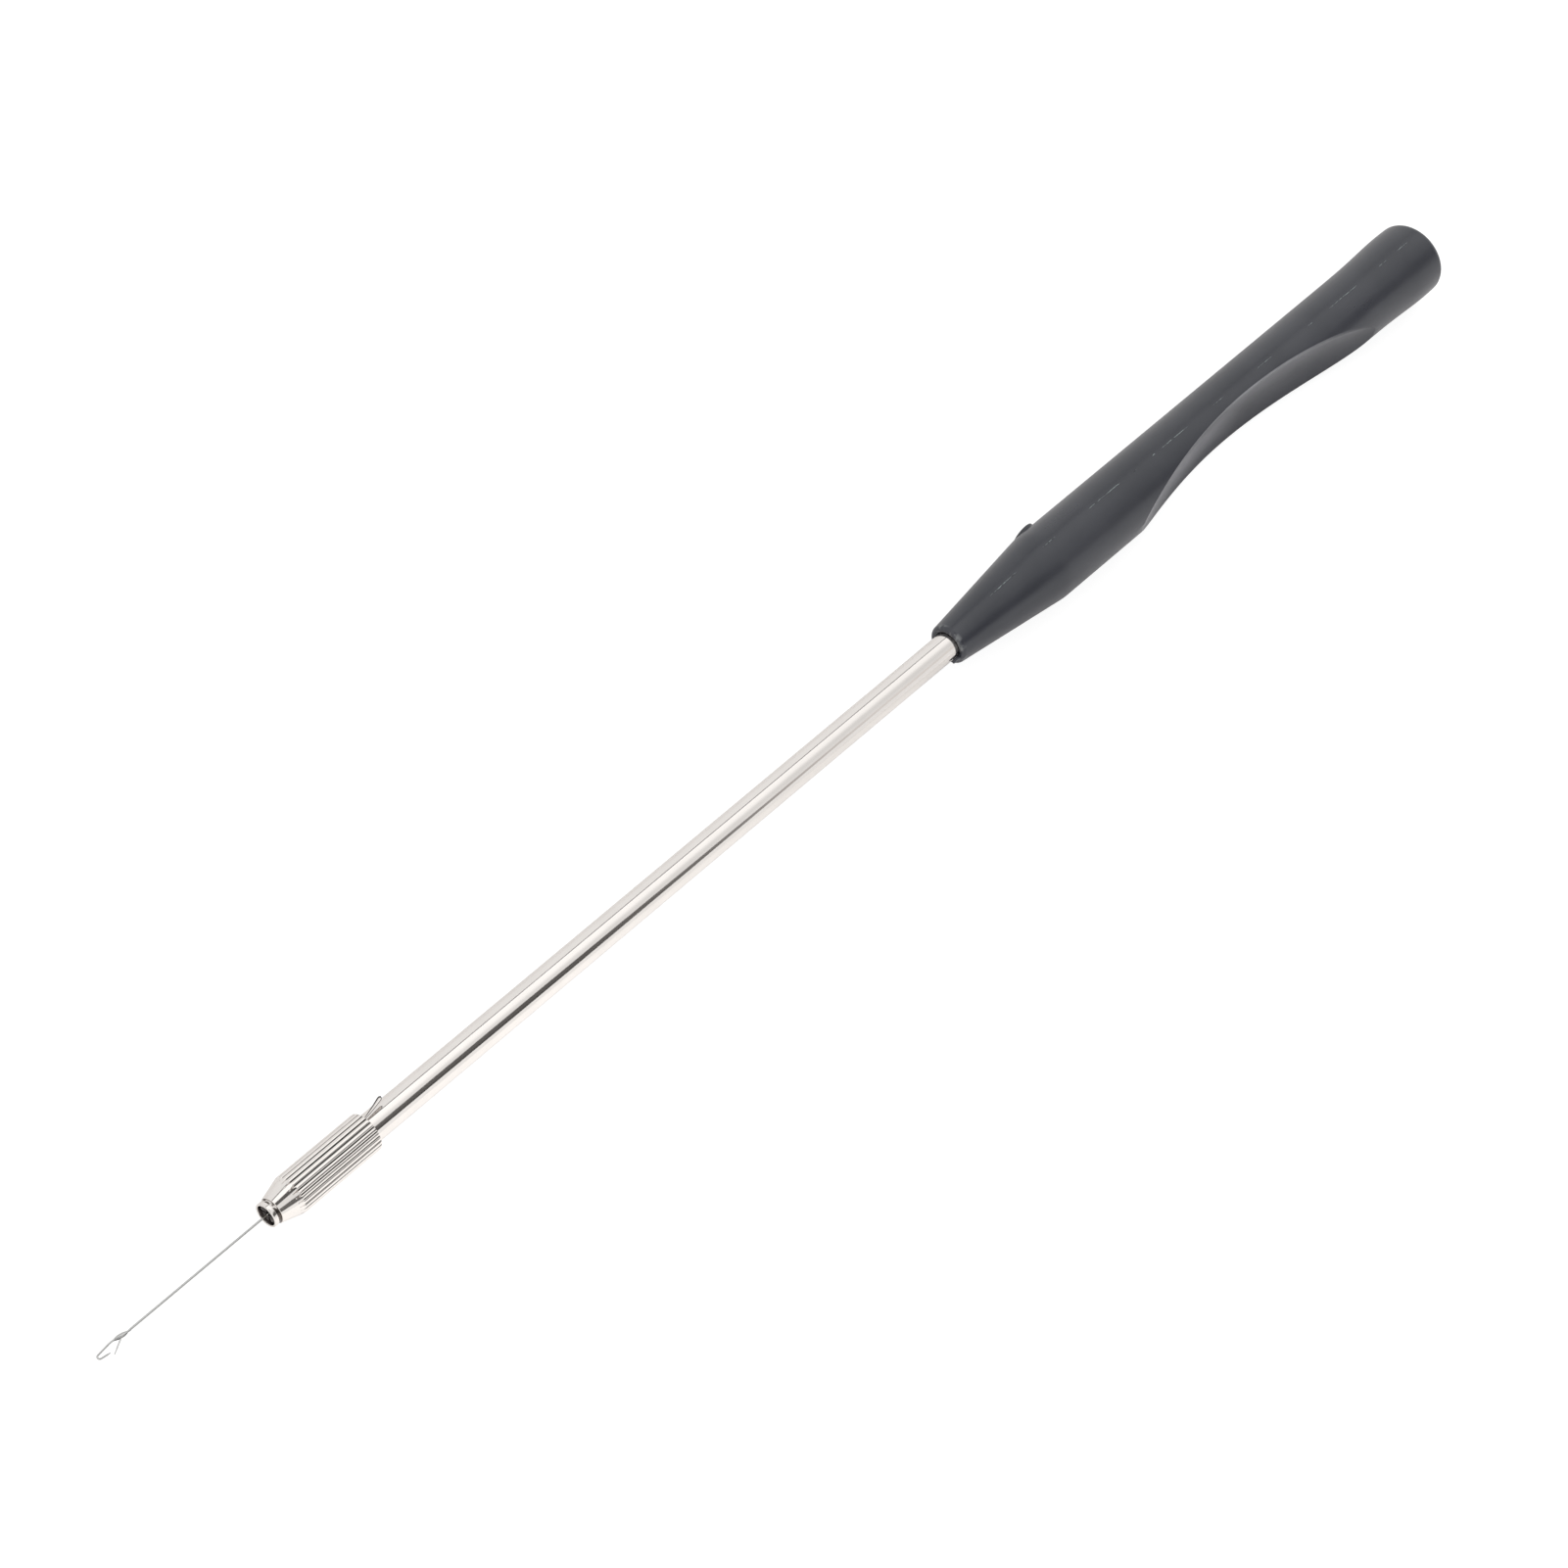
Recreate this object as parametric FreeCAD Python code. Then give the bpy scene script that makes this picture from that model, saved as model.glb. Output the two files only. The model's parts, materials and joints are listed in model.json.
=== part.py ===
import FreeCAD, Part
import math
import os

# Latch-hook needle tool with a pin-vise chuck.
# Frame: origin at the centre of the handle's butt face, +X along the tool towards the hook,
# +Y the side that the thumb scoop is cut in, +Z up. All sizes are millimetres.

# ---- stations along the tool, measured from the butt face ----
SHOULDER_X = 103.2        # the handle's cylinder ends and its front cone starts
MOUTH_X = 126.6           # front face of the handle, where the shaft comes out
SHAFT_TAIL_X = 78.0       # rear end of the shaft, inside the handle
SHAFT_FRONT_X = 258.0     # front end of the shaft, hidden by the nut
NUT_REAR_X = 254.1        # rear end of the chuck nut
NUT_FRONT_X = 273.7       # front face of the nut's lip
PIVOT_X = 300.3           # rivet on which the latch swings

# ---- handle ----
BUTT_RADIUS = 6.45
BUTT_EDGE = 1.3           # rounding of the butt's edge
FLARE_X, FLARE_RADIUS = 4.0, 6.5
FLARE_END_X, FLARE_END_RADIUS = 10.0, 6.3
WAIST_X, WAIST_RADIUS = 17.0, 6.1
MIDDLE_X, MIDDLE_RADIUS = 54.5, 6.04
FRONT_RADIUS = 6.0        # at the shoulder
SHOULDER_EASE = 3.4       # length over which the shoulder is rounded, each way
CONE_RADIUS = 3.34        # the front cone's radius if it ran on to the mouth
MOUTH_LIP = 0.72          # rounding outside the mouth
MOUTH_RELIEF = 0.45       # rounding inside the mouth, around the shaft

SCOOP_DEEPEST_X = 54.5
SCOOP_FLOOR_Y = 0.72
SCOOP_AXIS_Y = 20.0       # the scoop is turned about a line parallel to X at this height
SCOOP_FRONT_ARC = 86.0
SCOOP_REAR_ARC = 118.0
SCOOP_REACH = 40.0        # how far the cutter runs each way from the deepest point

NUB_X = 100.2             # flat round stub of the moulding gate, opposite the scoop
NUB_RADIUS = 2.35
NUB_HEIGHT = 0.15
NUB_EDGE = 0.08

# ---- shaft ----
SHAFT_RADIUS = 2.25
SHAFT_BORE = 1.5
GRIP_GROOVES = 4          # rings in the tail that the moulded handle locks into
GRIP_GROOVE_STEP = 8.0
GRIP_GROOVE_WIDTH = 2.0
GRIP_GROOVE_DEPTH = 0.3

# ---- collet holder: a threaded plug in the shaft's front end ----
HOLDER_REAR_X = 246.0
FLANGE_FRONT_X = 258.6
FLANGE_RADIUS = 2.2
THREAD_START_X = 259.2
THREAD_END_X = 265.6
THREAD_PITCH = 0.5
MALE_CREST = 2.0
MALE_ROOT = 1.73
FEMALE_CREST = 2.04
FEMALE_ROOT = 2.3
UNDERCUT_RADIUS = 1.68
SHANK_BORE = 1.1
SHANK_BORE_REAR_X = 257.0
NEEDLE_PASSAGE = 0.6

# ---- collet ----
COLLET_REAR_X = 258.2
COLLET_SHOULDER_X = 265.7
COLLET_TAPER_X = 269.9
COLLET_TAPER_END_X = 272.55
COLLET_FACE_X = 273.3
SHANK_RADIUS = 1.05
COLLET_HEAD_RADIUS = 1.9
COLLET_NOSE_RADIUS = 1.52
COLLET_FACE_EDGE = 0.16
NEEDLE_BORE = 0.2
SLOT_WIDTH = 0.26
SLOT_REAR_X = 260.5
JAW_TURN = 25.0           # turn of the slots about the axis, in degrees

# ---- chuck nut ----
RIDGES = 24
RIDGE_TOP = 3.1
RIDGE_VALLEY = 2.86
KNURL_FRONT_X = 268.95
GROOVE_REAR_X = 272.5
GROOVE_FRONT_X = 273.0
CONE_FRONT_RADIUS = 2.1
GROOVE_RADIUS = 1.87
LIP_RADIUS = 1.97
NUT_EDGE = 0.25
LIP_EDGE = 0.12
SHAFT_CLEARANCE = 0.08
COUNTERBORE_END_X = 258.95
NUT_CAVITY = 1.97
NUT_MOUTH = 1.62
NUT_TAPER_X = 269.95

# ---- needle ----
NEEDLE_REAR_X = 253.7
WIRE_RADIUS = 0.18
HOOK_WIRE_RADIUS = 0.14
NECK_X = 299.0            # the wire thins and starts to bend here
BACK_BEND_X = 302.0       # lowest point of the bow behind the hook
BACK_BEND_Y = -0.36
HOOK_RISE = 6.0           # slope of the wire into the hook, in degrees
RISE_RADIUS = 3.0
RISE_LENGTH = 2.16
HOOK_RADIUS = 0.33
HOOK_LEG = 1.0
HOOK_END_TAPER = 0.45
HOOK_END_RADIUS = 0.08
HOOK_CLOSE = 172.0        # direction of the hook's end from +X, in degrees
CHEEK_LENGTH = 2.2
CHEEK_TOP = 0.3
CHEEK_BOTTOM = -0.44
CHEEK_HALF_WIDTH = 0.22

# ---- latch and rivet ----
LATCH_SLOT = 0.19
LATCH_SLOT_FLOOR = -0.26
LATCH_SLOT_REAR = 1.5     # how far the slot reaches behind and in front of the rivet
LATCH_SLOT_FRONT = 1.7
LATCH_THICKNESS = 0.15
LATCH_LENGTH = 2.85
LATCH_EYE_RADIUS = 0.23
LATCH_BLADE_HEIGHT = 0.22
LATCH_REST = 27.0         # angle of the latch from +X, in degrees
SPOON_LENGTH = 0.95
SPOON_HALF_WIDTH = 0.23
SPOON_DISH = 0.05
RIVET_RADIUS = 0.08
RIVET_CLEARANCE = 0.02
RIVET_HEAD = 0.03         # height of a head
RIVET_HEAD_BASE, RIVET_HEAD_TOP = 0.11, 0.055

X_AXIS = FreeCAD.Vector(1, 0, 0)
Y_AXIS = FreeCAD.Vector(0, 1, 0)
Z_AXIS = FreeCAD.Vector(0, 0, 1)
ORIGIN = FreeCAD.Vector(0, 0, 0)


def point(x, y, z=0.0):
    return FreeCAD.Vector(x, y, z)


def line(start, end):
    return Part.LineSegment(start, end).toShape()


def arc(start, middle, end):
    return Part.Arc(start, middle, end).toShape()


def chain(points):
    """Straight edges through the points, in order."""
    return [line(a, b) for a, b in zip(points, points[1:])]


def turned(edges, centre=ORIGIN):
    """Solid of a closed outline in the XY plane, turned about a line parallel to X."""
    face = Part.Face(Part.Wire(edges))
    return face.revolve(centre, X_AXIS, 360)


def turned_outline(stations):
    """Solid turned about the tool's axis from (x, radius) stations, closed by straight edges."""
    points = [point(x, radius) for x, radius in stations]
    return turned(chain(points + points[:1]))


def tube(start, end, outer, inner):
    return turned_outline([(start, inner), (end, inner), (end, outer), (start, outer)])


def thread_stations(start, end, crest, root):
    """Zigzag of (x, radius) stations: ring grooves a pitch apart between start and end."""
    count = int((end - start) / THREAD_PITCH)
    stations = []
    for turn in range(count):
        x = start + turn * THREAD_PITCH
        stations.append((x, crest))
        stations.append((x + THREAD_PITCH / 2, root))
    stations.append((start + count * THREAD_PITCH, crest))
    return stations


def arc_on_circle(centre, radius, first, last):
    """Arc about a centre in the XY plane between two angles in degrees."""
    def at(angle):
        a = math.radians(angle)
        return centre + point(radius * math.cos(a), radius * math.sin(a))
    return arc(at(first), at((first + last) / 2), at(last))


# ---------------------------------------------------------------- handle

def handle_side():
    """The handle's outer line from the butt's edge to the shoulder, as one smooth curve."""
    curve = Part.BSplineCurve()
    curve.interpolate([
        point(BUTT_EDGE, BUTT_RADIUS),
        point(FLARE_X, FLARE_RADIUS),
        point(FLARE_END_X, FLARE_END_RADIUS),
        point(WAIST_X, WAIST_RADIUS),
        point(MIDDLE_X, MIDDLE_RADIUS),
        point(SHOULDER_X - SHOULDER_EASE, FRONT_RADIUS),
    ])
    return curve.toShape()


def cone_radius(x):
    """Radius of the handle's front cone at a station."""
    share = (x - SHOULDER_X) / (MOUTH_X - SHOULDER_X)
    return FRONT_RADIUS + share * (CONE_RADIUS - FRONT_RADIUS)


def handle_outline():
    """Half section of the handle: butt, side, shoulder, cone, rounded mouth and the shaft's bore."""
    butt_centre = point(BUTT_EDGE, BUTT_RADIUS - BUTT_EDGE)
    side_end = point(SHOULDER_X - SHOULDER_EASE, FRONT_RADIUS)
    cone_start = point(SHOULDER_X + SHOULDER_EASE, cone_radius(SHOULDER_X + SHOULDER_EASE))
    shoulder_drop = (side_end.y - cone_start.y) / 4
    shoulder = arc(side_end, point(SHOULDER_X, FRONT_RADIUS - shoulder_drop), cone_start)
    slope = math.degrees(math.atan((FRONT_RADIUS - CONE_RADIUS) / (MOUTH_X - SHOULDER_X)))
    rim_radius = SHAFT_RADIUS + MOUTH_RELIEF
    lip = arc_on_circle(point(MOUTH_X - MOUTH_LIP, rim_radius), MOUTH_LIP, 90 - slope, 0)
    relief = arc_on_circle(point(MOUTH_X - MOUTH_RELIEF, rim_radius), MOUTH_RELIEF, 0, -90)
    bore = [point(x, radius) for x, radius in reversed(tail_stations())]
    bore = [relief.lastVertex().Point] + bore + [point(SHAFT_TAIL_X, 0), point(0, 0)]
    edges = [
        line(point(0, 0), point(0, BUTT_RADIUS - BUTT_EDGE)),
        arc_on_circle(butt_centre, BUTT_EDGE, 180, 90),
        handle_side(),
        shoulder,
        line(cone_start, lip.firstVertex().Point),
        lip,
        relief,
    ]
    return edges + chain(bore)


def scoop_cutter():
    """Barrel that cuts the thumb scoop: a rear and a front arc, turned about the scoop's own line."""
    deepest = point(SCOOP_DEEPEST_X, SCOOP_FLOOR_Y)

    def scoop_arc(radius, reach):
        def at(distance):
            drop = radius - math.sqrt(radius ** 2 - distance ** 2)
            return point(SCOOP_DEEPEST_X + distance, SCOOP_FLOOR_Y + drop)
        return arc(deepest, at(reach / 2), at(reach)), at(reach)

    rear, rear_end = scoop_arc(SCOOP_REAR_ARC, -SCOOP_REACH)
    front, front_end = scoop_arc(SCOOP_FRONT_ARC, SCOOP_REACH)
    top = [front_end, point(front_end.x, SCOOP_AXIS_Y), point(rear_end.x, SCOOP_AXIS_Y), rear_end]
    return turned([rear, front] + chain(top), point(0, SCOOP_AXIS_Y))


def gate_nub():
    base = point(NUB_X, -FRONT_RADIUS / 2)
    reach = FRONT_RADIUS / 2 + NUB_HEIGHT
    nub = Part.makeCylinder(NUB_RADIUS, reach, base, -Y_AXIS)
    top = [edge for edge in nub.Edges if abs(edge.CenterOfMass.y + FRONT_RADIUS + NUB_HEIGHT) < 1e-6]
    return nub.makeFillet(NUB_EDGE, top)


def handle():
    body = turned(handle_outline())
    body = body.cut(scoop_cutter())
    return body.fuse(gate_nub()).removeSplitter()


# ---------------------------------------------------------------- shaft

def tail_stations():
    """(x, radius) stations along the shaft's tail with its grip grooves, from the rear forwards."""
    stations = [(SHAFT_TAIL_X, SHAFT_RADIUS)]
    floor = SHAFT_RADIUS - GRIP_GROOVE_DEPTH
    for index in range(GRIP_GROOVES):
        x = SHAFT_TAIL_X + GRIP_GROOVE_STEP * (index + 0.5)
        stations.append((x, SHAFT_RADIUS))
        stations.append((x + GRIP_GROOVE_DEPTH, floor))
        stations.append((x + GRIP_GROOVE_WIDTH - GRIP_GROOVE_DEPTH, floor))
        stations.append((x + GRIP_GROOVE_WIDTH, SHAFT_RADIUS))
    return stations


def shaft_tube():
    ends = [(SHAFT_FRONT_X, SHAFT_RADIUS), (SHAFT_FRONT_X, SHAFT_BORE), (SHAFT_TAIL_X, SHAFT_BORE)]
    return turned_outline(tail_stations() + ends)


# ---------------------------------------------------------------- chuck

def collet_holder():
    outside = [(HOLDER_REAR_X, SHAFT_BORE), (SHAFT_FRONT_X, SHAFT_BORE), (SHAFT_FRONT_X, FLANGE_RADIUS),
               (FLANGE_FRONT_X, FLANGE_RADIUS), (FLANGE_FRONT_X, UNDERCUT_RADIUS),
               (THREAD_START_X, UNDERCUT_RADIUS)]
    thread = thread_stations(THREAD_START_X, THREAD_END_X, MALE_CREST, MALE_ROOT)
    inside = [(THREAD_END_X, MALE_ROOT), (THREAD_END_X, SHANK_BORE), (SHANK_BORE_REAR_X, SHANK_BORE),
              (SHANK_BORE_REAR_X, NEEDLE_PASSAGE), (HOLDER_REAR_X, NEEDLE_PASSAGE)]
    return turned_outline(outside + thread + inside)


def collet():
    """Four-jaw collet: a slim shank, a head with a tapered nose, and crossed slots."""
    jaws = turned_outline([
        (COLLET_REAR_X, NEEDLE_BORE), (COLLET_REAR_X, SHANK_RADIUS),
        (COLLET_SHOULDER_X, SHANK_RADIUS), (COLLET_SHOULDER_X, COLLET_HEAD_RADIUS),
        (COLLET_TAPER_X, COLLET_HEAD_RADIUS), (COLLET_TAPER_END_X, COLLET_NOSE_RADIUS),
        (COLLET_FACE_X - COLLET_FACE_EDGE, COLLET_NOSE_RADIUS),
        (COLLET_FACE_X, COLLET_NOSE_RADIUS - COLLET_FACE_EDGE), (COLLET_FACE_X, NEEDLE_BORE),
    ])
    length = COLLET_FACE_X - SLOT_REAR_X + 1
    across = 2 * COLLET_HEAD_RADIUS + 1
    for quarter in range(2):
        slot = Part.makeBox(length, across, SLOT_WIDTH, point(SLOT_REAR_X, -across / 2, -SLOT_WIDTH / 2))
        slot.rotate(ORIGIN, X_AXIS, JAW_TURN + 90 * quarter)
        jaws = jaws.cut(slot)
    return jaws


def ridged_bar():
    """Bar along X with round-topped ridges, as long as the nut."""
    half_step = 180.0 / RIDGES

    def at(radius, angle):
        a = math.radians(angle)
        return FreeCAD.Vector(NUT_REAR_X, radius * math.cos(a), radius * math.sin(a))

    edges = []
    for index in range(RIDGES):
        top = 2 * half_step * index
        start, end = at(RIDGE_VALLEY, top - half_step), at(RIDGE_VALLEY, top + half_step)
        edges.append(arc(start, at(RIDGE_TOP, top), end))
    face = Part.Face(Part.Wire(edges))
    return face.extrude(X_AXIS * (NUT_FRONT_X - NUT_REAR_X))


def nut_outside():
    stations = [
        (NUT_REAR_X, 0), (NUT_REAR_X, RIDGE_TOP - NUT_EDGE), (NUT_REAR_X + NUT_EDGE, RIDGE_TOP),
        (KNURL_FRONT_X, RIDGE_TOP), (GROOVE_REAR_X, CONE_FRONT_RADIUS), (GROOVE_REAR_X, GROOVE_RADIUS),
        (GROOVE_FRONT_X, GROOVE_RADIUS), (GROOVE_FRONT_X, LIP_RADIUS),
        (NUT_FRONT_X - LIP_EDGE, LIP_RADIUS), (NUT_FRONT_X, LIP_RADIUS - LIP_EDGE), (NUT_FRONT_X, 0),
    ]
    return turned_outline(stations).common(ridged_bar())


def nut_inside():
    counterbore = SHAFT_RADIUS + SHAFT_CLEARANCE
    stations = [(NUT_REAR_X - 1, 0), (NUT_REAR_X - 1, counterbore), (COUNTERBORE_END_X, counterbore),
                (THREAD_START_X, FEMALE_CREST)]
    stations += thread_stations(THREAD_START_X, THREAD_END_X, FEMALE_CREST, FEMALE_ROOT)[1:]
    stations += [(THREAD_END_X, NUT_CAVITY), (NUT_TAPER_X, NUT_CAVITY),
                 (GROOVE_REAR_X + 0.1, NUT_MOUTH), (NUT_FRONT_X + 1, NUT_MOUTH), (NUT_FRONT_X + 1, 0)]
    return turned_outline(stations)


def chuck_nut():
    return nut_outside().cut(nut_inside())


# ---------------------------------------------------------------- needle

def direction(angle):
    a = math.radians(angle)
    return point(math.cos(a), math.sin(a))


def swept(path, radius):
    """Round wire along a chain of edges that starts along +X."""
    start = path[0].valueAt(path[0].FirstParameter)
    section = Part.Wire([Part.Circle(start, X_AXIS, radius).toShape()])
    return Part.Wire(path).makePipeShell([section], True, False)


def hook_path():
    """Centre line from the neck to the hook's end: a shallow bow, a rise, the bend and the leg."""
    rise = BACK_BEND_X - NECK_X
    half_turn = 2 * math.degrees(math.atan(-BACK_BEND_Y / rise))
    bow = rise / (2 * math.sin(math.radians(half_turn)))
    neck = point(NECK_X, 0)
    dip = arc_on_circle(neck - Y_AXIS * bow, bow, 90, 90 - half_turn)
    back = point(BACK_BEND_X, BACK_BEND_Y)
    recover = arc_on_circle(back + Y_AXIS * bow, bow, 270 - half_turn, 270)
    lift = arc_on_circle(back + Y_AXIS * RISE_RADIUS, RISE_RADIUS, 270, 270 + HOOK_RISE)
    rise_start = back + Y_AXIS * RISE_RADIUS + direction(270 + HOOK_RISE) * RISE_RADIUS
    rise_end = rise_start + direction(HOOK_RISE) * RISE_LENGTH
    centre = rise_end + direction(HOOK_RISE + 90) * HOOK_RADIUS
    bend = arc_on_circle(centre, HOOK_RADIUS, HOOK_RISE - 90, HOOK_CLOSE - 90)
    leg_start = centre + direction(HOOK_CLOSE - 90) * HOOK_RADIUS
    leg_end = leg_start + direction(HOOK_CLOSE) * HOOK_LEG
    return [dip, recover, lift, line(rise_start, rise_end), bend, line(leg_start, leg_end)]


def hook_tip(start):
    """Tapered, round-ended tip that carries on from the hook's leg."""
    along = direction(HOOK_CLOSE)
    taper = Part.makeCone(HOOK_WIRE_RADIUS, HOOK_END_RADIUS, HOOK_END_TAPER, start, along)
    return taper.fuse(Part.makeSphere(HOOK_END_RADIUS, start + along * HOOK_END_TAPER))


def cheeks():
    """Flattened swelling of the wire around the rivet, seen from the side as an ellipse."""
    middle = (CHEEK_TOP + CHEEK_BOTTOM) / 2
    height = (CHEEK_TOP - CHEEK_BOTTOM) / 2
    oval = Part.Ellipse(point(PIVOT_X, middle, -CHEEK_HALF_WIDTH), CHEEK_LENGTH / 2, height)
    return Part.Face(Part.Wire([oval.toShape()])).extrude(Z_AXIS * 2 * CHEEK_HALF_WIDTH)


def latch_slot():
    """Slot right through the cheeks, in which the latch lies and swings."""
    corner = point(PIVOT_X - LATCH_SLOT_REAR, LATCH_SLOT_FLOOR, -LATCH_SLOT / 2)
    return Part.makeBox(LATCH_SLOT_REAR + LATCH_SLOT_FRONT, 2, LATCH_SLOT, corner)


def rivet_hole(radius):
    return Part.makeCylinder(radius, 4 * CHEEK_HALF_WIDTH, point(PIVOT_X, 0, -2 * CHEEK_HALF_WIDTH), Z_AXIS)


def needle():
    stem = Part.makeCylinder(WIRE_RADIUS, NECK_X - NEEDLE_REAR_X - 1, point(NEEDLE_REAR_X, 0), X_AXIS)
    neck = Part.makeCone(WIRE_RADIUS, HOOK_WIRE_RADIUS, 1, point(NECK_X - 1, 0), X_AXIS)
    path = hook_path()
    leg_end = path[-1].Vertexes[-1].Point
    hook = swept(path, HOOK_WIRE_RADIUS)
    wire = stem.fuse([neck, hook, hook_tip(leg_end), cheeks()])
    wire = wire.cut(latch_slot()).cut(rivet_hole(RIVET_RADIUS))
    return wire.removeSplitter()


def latch():
    """Blade with an eye at the rivet and a dished spoon at its end, laid along +X, then turned."""
    half = LATCH_THICKNESS / 2
    eye = Part.makeCylinder(LATCH_EYE_RADIUS, LATCH_THICKNESS, point(0, 0, -half), Z_AXIS)
    blade_end = LATCH_LENGTH - SPOON_LENGTH / 2
    blade = Part.makeBox(blade_end, LATCH_BLADE_HEIGHT, LATCH_THICKNESS,
                         point(0, -LATCH_BLADE_HEIGHT / 2, -half))
    spoon_centre = point(LATCH_LENGTH - SPOON_LENGTH / 2, -LATCH_BLADE_HEIGHT / 2)
    oval = Part.Ellipse(point(0, 0), SPOON_LENGTH / 2, SPOON_HALF_WIDTH).toShape()
    oval.rotate(ORIGIN, X_AXIS, -90)
    oval.translate(spoon_centre)
    spoon = Part.Face(Part.Wire([oval])).extrude(Y_AXIS * LATCH_BLADE_HEIGHT)
    body = eye.fuse([blade, spoon])
    dish_radius = SPOON_LENGTH
    dish = Part.makeSphere(dish_radius, spoon_centre - Y_AXIS * (dish_radius - SPOON_DISH))
    hole = Part.makeCylinder(RIVET_RADIUS + RIVET_CLEARANCE, 1, point(0, 0, -0.5), Z_AXIS)
    body = body.cut(dish).cut(hole).removeSplitter()
    body.rotate(ORIGIN, Z_AXIS, LATCH_REST)
    body.translate(point(PIVOT_X, 0))
    return body


def latch_rivet():
    length = 2 * CHEEK_HALF_WIDTH
    pin = Part.makeCylinder(RIVET_RADIUS, length, point(PIVOT_X, 0, -length / 2), Z_AXIS)
    heads = []
    for side in (-1, 1):
        base = point(PIVOT_X, 0, side * length / 2)
        heads.append(Part.makeCone(RIVET_HEAD_BASE, RIVET_HEAD_TOP, RIVET_HEAD, base, Z_AXIS * side))
    return pin.fuse(heads)


PARTS = {
    "handle": handle,
    "shaft_tube": shaft_tube,
    "collet_holder": collet_holder,
    "collet": collet,
    "chuck_nut": chuck_nut,
    "needle": needle,
    "latch": latch,
    "latch_rivet": latch_rivet,
}

os.makedirs("parts", exist_ok=True)
for name, make in PARTS.items():
    shape = make()
    if len(shape.Solids) != 1 or not shape.isValid():
        raise ValueError(name + " is not one valid solid")
    shape.Solids[0].exportStep("parts/" + name + ".step")
    print(name, round(shape.Volume, 3))
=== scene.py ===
import json
import math
import random

import bpy
import bmesh
from mathutils import Matrix, Vector


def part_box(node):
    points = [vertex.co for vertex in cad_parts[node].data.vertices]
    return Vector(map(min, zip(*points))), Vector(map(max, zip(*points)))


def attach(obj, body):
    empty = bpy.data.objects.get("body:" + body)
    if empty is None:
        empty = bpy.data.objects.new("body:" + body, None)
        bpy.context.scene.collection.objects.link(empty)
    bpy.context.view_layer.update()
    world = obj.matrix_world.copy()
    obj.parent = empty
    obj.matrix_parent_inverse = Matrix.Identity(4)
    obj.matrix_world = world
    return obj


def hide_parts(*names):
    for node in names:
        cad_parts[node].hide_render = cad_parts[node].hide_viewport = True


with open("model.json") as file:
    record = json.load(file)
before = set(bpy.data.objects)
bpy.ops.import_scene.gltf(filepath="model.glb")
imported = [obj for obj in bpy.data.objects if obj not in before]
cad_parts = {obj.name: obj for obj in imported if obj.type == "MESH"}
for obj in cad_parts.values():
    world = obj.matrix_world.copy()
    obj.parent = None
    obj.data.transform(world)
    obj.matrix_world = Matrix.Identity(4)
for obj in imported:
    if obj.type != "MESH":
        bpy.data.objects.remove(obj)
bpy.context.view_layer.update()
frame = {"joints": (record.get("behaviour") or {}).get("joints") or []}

# The tool lies along +X, butt first. Lengths here are in millimetres, unless a name or a comment
# says otherwise, and meshes are scaled to metres when they are made.
MM = 0.001


def span(node):
    """First and last station of a CAD node along the tool, in millimetres."""
    low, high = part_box(node)
    return low.x / MM, high.x / MM


BUTT_X, MOUTH_X = span("handle")
SHAFT_TAIL_X, SHAFT_FRONT_X = span("shaft_tube")
NUT_REAR_X, NUT_FRONT_X = span("chuck_nut")
NEEDLE_REAR_X = span("needle")[0]
JOINTS = {joint["name"]: joint for joint in frame["joints"]}
PIVOT_X = JOINTS["latch_swing"]["pos_m"][0] / MM

# ---------------------------------------------------------------- camera
# A long lens looks down at the tool: the hook is at the lower left, the butt at the upper right.
AIM = Vector((0.16562, 0.000215, 0.0))               # metres, on the tool's axis near its middle
CAMERA_DISTANCE = 0.6266                             # metres from the aim
CAMERA_SIDE = Vector((0.539, 0.2811, 0.7938))        # from the aim towards the camera
CAMERA_RIGHT = Vector((-0.64576, 0.74314, 0.17531))  # the picture's right-hand side
LENS, SENSOR = 96.7, 36.0
CLIP_START = 0.01                                    # metres


def add_object(name, data):
    """New object of some data, linked into the scene."""
    made = bpy.data.objects.new(name, data)
    bpy.context.scene.collection.objects.link(made)
    return made


def add_camera():
    data = bpy.data.cameras.new("camera")
    data.lens = LENS
    data.sensor_width = SENSOR
    data.clip_start = CLIP_START
    camera = add_object("camera", data)
    back = CAMERA_SIDE.normalized()
    up = back.cross(CAMERA_RIGHT).normalized()
    right = up.cross(back)
    turn = Matrix((right, up, back)).transposed().to_4x4()
    camera.matrix_world = Matrix.Translation(AIM + back * CAMERA_DISTANCE) @ turn
    bpy.context.scene.camera = camera


# ---------------------------------------------------------------- mesh helpers

def around(x, radius, angle):
    """Point at a station, a radius and an angle about the tool's axis, from +Y towards +Z."""
    return Vector((x, radius * math.cos(angle), radius * math.sin(angle)))


def circle(columns):
    """Angles of columns spread evenly over a full turn."""
    return [2 * math.pi * column / columns for column in range(columns)]


def ring(x, radius, columns):
    """Closed ring of points about the tool's axis. radius is a number or a function of the angle."""
    points = []
    for angle in circle(columns):
        here = radius(angle) if callable(radius) else radius
        points.append(around(x, here, angle))
    return points


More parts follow.
